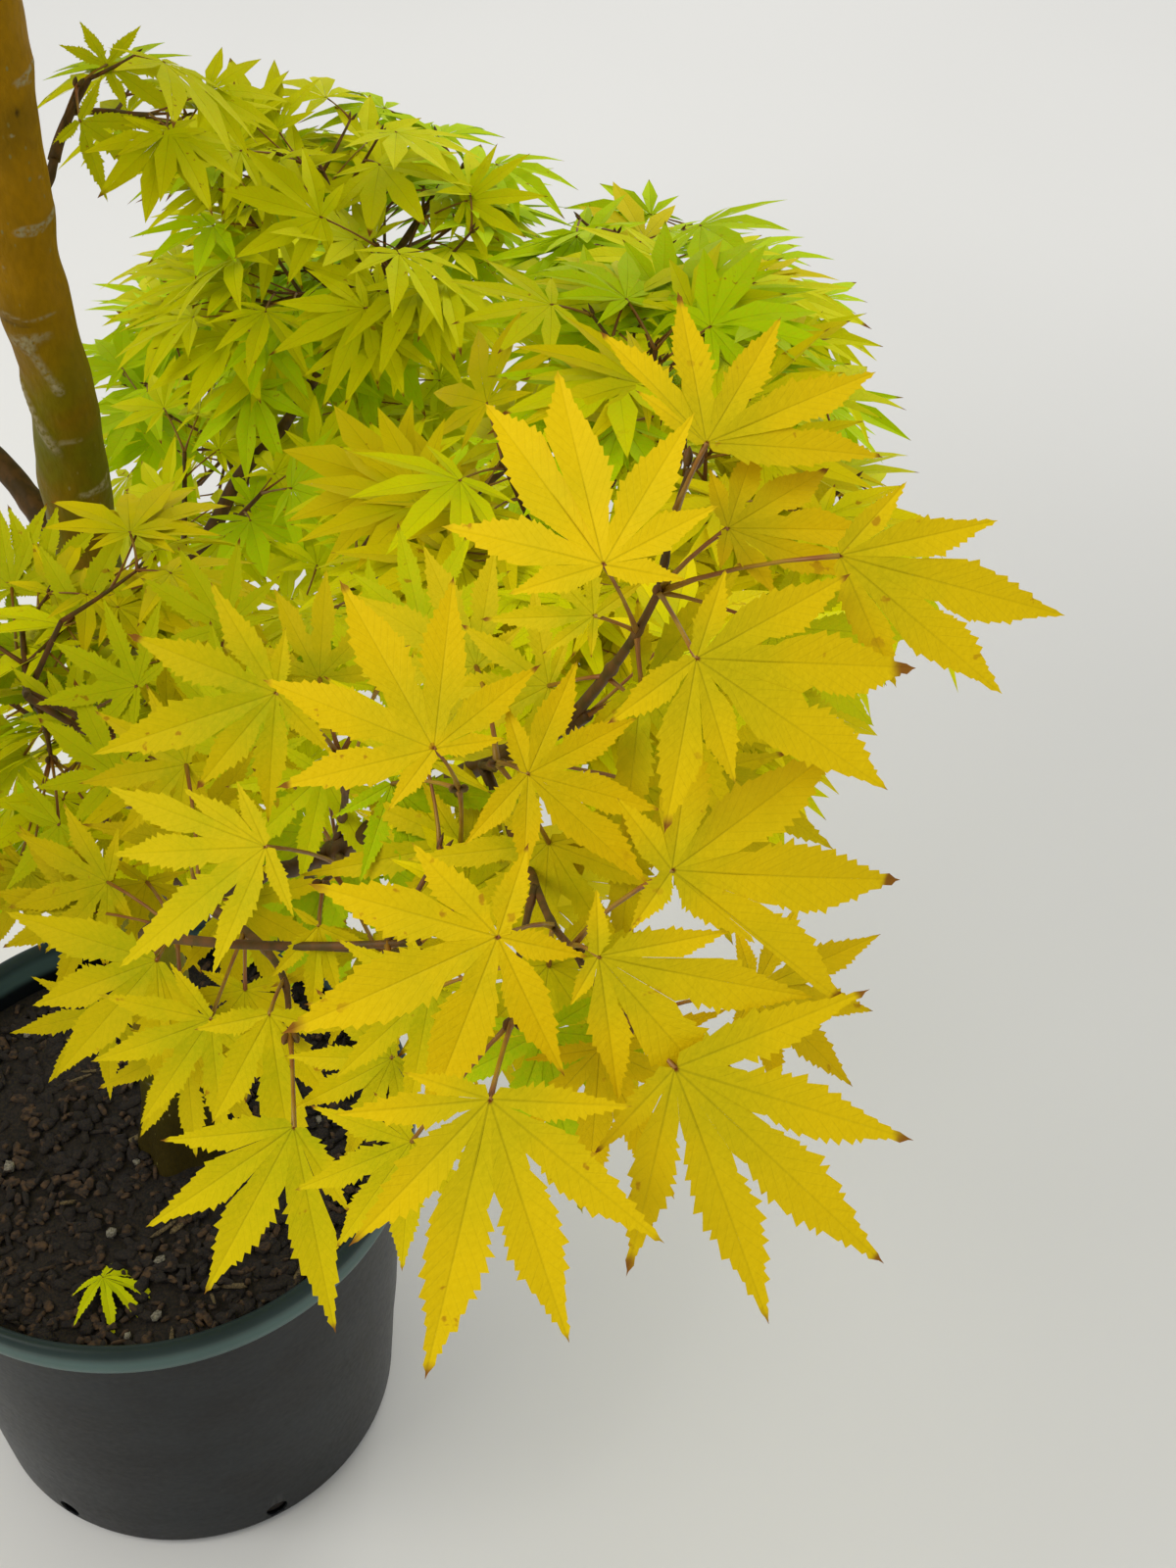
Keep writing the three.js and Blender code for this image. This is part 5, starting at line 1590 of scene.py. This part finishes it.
# The masses whose twigs, stalks and leaves make one piece each.
CROWN_PARTS = {
    "front": [
        "front_foliage", "front_side_foliage", "front_left_foliage", "inner_front_foliage",
        "right_front_foliage",
    ],
    "lower": [
        "right_foliage", "back_right_foliage", "low_back_foliage", "back_left_foliage",
        "spur_foliage",
    ],
    "middle": [
        "left_foliage", "mid_right_foliage", "mid_back_foliage", "upper_left_foliage",
        "upper_front_left_foliage",
    ],
    "upper": [
        "top_foliage", "upper_right_foliage", "upper_back_foliage", "upper_front_right_foliage",
    ],
}  # fmt: skip


class MAPLE_OT_crown(bpy.types.Operator):
    """Makes the crown's twigs, leaf stalks and leaves, in four parts"""

    bl_idname = "maple.crown"
    bl_label = "Crown"

    def execute(self, context):
        settings, bark = context.scene.maple_leaf, context.scene.maple_bark
        growth = crown_growth(settings.length, settings.stalk, settings.spacing)
        rng = np.random.default_rng(SEED)
        shapes = [leaf_shape(rng, 0, 1.0) for _ in range(6)]
        bark_look, skin = twig_bark(bark), stalk_skin()
        # The crown's tints are painted lighter than the near ones by the lift.
        tints = leaf_materials(settings, "crown", settings.lift)
        for group, members in CROWN_PARTS.items():
            wood, leaves, stems = [], [], []
            for own in growth:
                if own["mass"][0] not in members:
                    continue
                wood.extend(mass_wood(own, bark.twig_radius))
                if own["leaves"]:
                    made, stem = mass_blades(rng, own, shapes)
                    leaves.extend(made)
                    stems.append(stem)
            make_piece(f"twigs_{group}", gather(wood), [bark_look], members)
            make_piece(f"leaf_stalks_{group}", gather(stems), [skin])
            blade_part = gather(leaves)
            make_piece(f"leaves_{group}", blade_part, tints, members, smooth=False)
        return {"FINISHED"}


def seen_lobes(tips, base, side, away, face):
    """The lobes of a blade in the plane through its base, square to its face: where the camera's
    rays through the tips' pixels meet the plane. Returns the longest lobe's length, and each
    lobe's [degrees from "away", share of that length], in order of turn."""
    px, py = np.array(tips, float).T
    rays = unseen(px, py, 1.0) - CAMERA_AT
    reach = ((base - CAMERA_AT) @ face) / (rays @ face)
    off = CAMERA_AT + rays * reach[:, None] - base
    turns, lengths = np.degrees(np.arctan2(off @ side, off @ away)), np.linalg.norm(off, axis=1)
    order = np.argsort(turns)
    return lengths.max(), np.stack([turns, lengths / lengths.max()], -1)[order]


def near_twig(radii, points):
    """A twig of the near spray, swollen at its joints every 34 mm, and the two buds at its end."""
    steps = 26
    line = smooth_line(unseen(*np.array(points, float).T), steps)
    run = np.linspace(0, np.linalg.norm(line[-1] - line[0]), steps)
    swell = 1 + 0.35 * np.exp(-((((run + 9) % 34 - 17) / 2.2) ** 2))
    twig = limbs(line[None], (np.linspace(*radii, steps) * swell)[None], 10, tone=0.35)
    ahead = unit(line[-1] - line[-3])
    side = unit(np.cross(ahead, UP))
    t = np.linspace(0, 1, 8)[:, None]
    swelling = 1.25 * np.sin(np.pi * np.minimum(1, t[:, 0] * 0.9 + 0.12)) ** 0.7
    radius = np.maximum(swelling, 0.1)[None]
    buds = []
    for hand in (-1.2, 1.2):
        bud = line[-1] + side * hand * 0.8 + (ahead + side * hand * 0.2) * 5 * t
        buds.append(limbs(bud[None], radius, 9, tone=0.7))
    return twig, buds


def near_leaf(rng, row):
    """A near leaf from its row in NEAR_LEAVES or FILL_LEAVES: its blade, and its stalk's joint,
    end and first direction."""
    px, py, ahead, tip, lean, tint, joint_x, joint_y, joint_ahead, lobes, *breadth = row
    base, foot = unseen(px, py, ahead), unseen(joint_x, joint_y, joint_ahead)
    measured = isinstance(lobes, list)
    if measured:
        off = (np.array(lobes, float) - [px, py]) * [1, -1]
        turn = np.arctan2(*unit(off).sum(0)[::-1])
    else:
        turn = np.radians(lobes[0])
    flat = CAMERA_RIGHT * np.cos(turn) + CAMERA_UP * np.sin(turn)
    tip = np.radians(tip)
    away = flat * np.cos(tip) + CAMERA_AHEAD * np.sin(tip)
    axes = leaf_axes(away[None], -CAMERA_AHEAD[None], np.array([np.radians(lean)]))
    if measured:
        length, lobes = seen_lobes(lobes, base, *(axis[0] for axis in axes))
        shape = leaf_shape(rng, 12, 0.0, lobes, *breadth)
    else:
        length = lobes[1] * ahead / CAMERA_FOCUS
        shape = leaf_shape(rng, 12, 1.0)
    curl, fold, tone = rng.uniform(0.04, 0.13), rng.uniform(0.08, 0.22), rng.uniform(0.3, 1)
    slot = TINTS.index(tint)
    blade = blades(shape, base[None], *axes, [length], [curl], [fold], [tone], slot)
    return blade, foot, base, UP * 0.5 - flat * 0.3


class MAPLE_OT_near_leaves(bpy.types.Operator):
    """Makes the spray of near leaves, finely toothed, on its own twigs and stalks"""

    bl_idname = "maple.near_leaves"
    bl_label = "Near leaves"

    def execute(self, context):
        settings, bark = context.scene.maple_leaf, context.scene.maple_bark
        rng = np.random.default_rng(29)
        twigs, buds = zip(*(near_twig(radii, points) for radii, *points in NEAR_TWIGS))
        wood = gather([*twigs, *(bud for pair in buds for bud in pair)])
        rows = [near_leaf(rng, row) for row in NEAR_LEAVES + FILL_LEAVES]
        parts, *ends = zip(*rows)
        make_piece("near_twigs", wood, [twig_bark(bark)])
        stems = stalks(*(np.array(v) for v in ends), 0.72)
        make_piece("near_leaf_stalks", stems, [stalk_skin()])
        tints = leaf_materials(settings, "near", 1.0)
        make_piece("near_leaves", gather(parts), tints)
        return {"FINISHED"}


# [name, where in metres, what it faces, share of the softbox's power, metres across]
LAMPS = [
    ("softbox_left", (-1.7, -1.1, 3.4), (0, 0, 0.9), 1.0, 1.8),
    ("softbox_back", (1.2, 2.4, 2.8), (0, 0, 1.0), 0.45, 1.6),
]
SENSOR_WIDTH = 36
FLOOR_HALF = 6.0
FLOOR_SUNK = -0.001


class MAPLE_OT_stage(bpy.types.Operator):
    """Makes the plain floor, the soft light and the camera"""

    bl_idname = "maple.stage"
    bl_label = "Stage"

    def execute(self, context):
        settings = context.scene.maple_stage
        mesh = bpy.data.meshes.new("floor")
        ways = ((-1, -1), (1, -1), (1, 1), (-1, 1))
        corners = [(x * FLOOR_HALF, y * FLOOR_HALF, FLOOR_SUNK) for x, y in ways]
        mesh.from_pydata(corners, [], [(0, 1, 2, 3)])
        mesh.materials.append(studio_floor(settings))
        floor = bpy.data.objects.new("floor", mesh)
        context.scene.collection.objects.link(floor)
        floor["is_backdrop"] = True
        world = bpy.data.worlds.new("studio")
        world.use_nodes = True
        sky = world.node_tree.nodes["Background"]
        sky.inputs["Color"].default_value = (*linear(0xF2F4F6), 1)
        sky.inputs["Strength"].default_value = settings.daylight
        context.scene.world = world
        for name, where, aim, share, wide in LAMPS:
            light = bpy.data.lights.new(name, "AREA")
            light.energy, light.size = settings.softbox * share, wide
            lamp = bpy.data.objects.new(name, light)
            lamp.location = where
            facing = lamp.location - Vector(aim)
            lamp.rotation_euler = facing.to_track_quat("Z", "Y").to_euler()
            context.scene.collection.objects.link(lamp)
        context.scene.view_settings.view_transform = "Standard"
        lens = bpy.data.cameras.new("camera")
        lens.sensor_width = SENSOR_WIDTH
        lens.lens = CAMERA_FOCUS / PHOTO_SIZE[1] * SENSOR_WIDTH
        camera = bpy.data.objects.new("camera", lens)
        camera.location = tuple(CAMERA_AT * MM)
        camera.rotation_euler = (np.pi / 2 - CAMERA_PITCH, 0, 0)
        context.scene.collection.objects.link(camera)
        context.scene.camera = camera
        return {"FINISHED"}


class MAPLE_PT_sidebar(bpy.types.Panel):
    """Lists the maple's pieces and their sizes and colours"""

    bl_idname = "MAPLE_PT_sidebar"
    bl_label = "Potted maple"
    bl_space_type = "VIEW_3D"
    bl_region_type = "UI"
    bl_category = "Maple"

    def draw(self, context):
        for key, operators in PANEL_ROWS:
            box = self.layout.box()
            settings = getattr(context.scene, key)
            for name in settings.__annotations__:
                box.prop(settings, name)
            for operator in operators:
                box.operator(operator.bl_idname)


SETTINGS = (
    ("maple_pot", MaplePotSettings),
    ("maple_bark", MapleBarkSettings),
    ("maple_leaf", MapleLeafSettings),
    ("maple_stage", MapleStageSettings),
)
OPERATORS = (MAPLE_OT_pot, MAPLE_OT_mix, MAPLE_OT_bark, MAPLE_OT_crown, MAPLE_OT_near_leaves, MAPLE_OT_stage)
PANEL_ROWS = (
    ("maple_pot", OPERATORS[:2]),
    ("maple_bark", OPERATORS[2:3]),
    ("maple_leaf", OPERATORS[3:5]),
    ("maple_stage", OPERATORS[5:]),
)


def register():
    for key, group in SETTINGS:
        bpy.utils.register_class(group)
        setattr(bpy.types.Scene, key, PointerProperty(type=group))
    for cls in (*OPERATORS, MAPLE_PT_sidebar):
        bpy.utils.register_class(cls)


def unregister():
    for cls in (MAPLE_PT_sidebar, *reversed(OPERATORS)):
        bpy.utils.unregister_class(cls)
    for key, group in reversed(SETTINGS):
        delattr(bpy.types.Scene, key)
        bpy.utils.unregister_class(group)


def main():
    register()
    bpy.ops.maple.pot()
    bpy.ops.maple.mix()
    bpy.ops.maple.bark()
    bpy.ops.maple.crown()
    bpy.ops.maple.near_leaves()
    bpy.ops.maple.stage()
    boxes = {"cad": CAD_BOX, "visual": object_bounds()}
    {name: [list(corner) for corner in box] for name, box in boxes.items()}


if __name__ == "__main__":
    main()
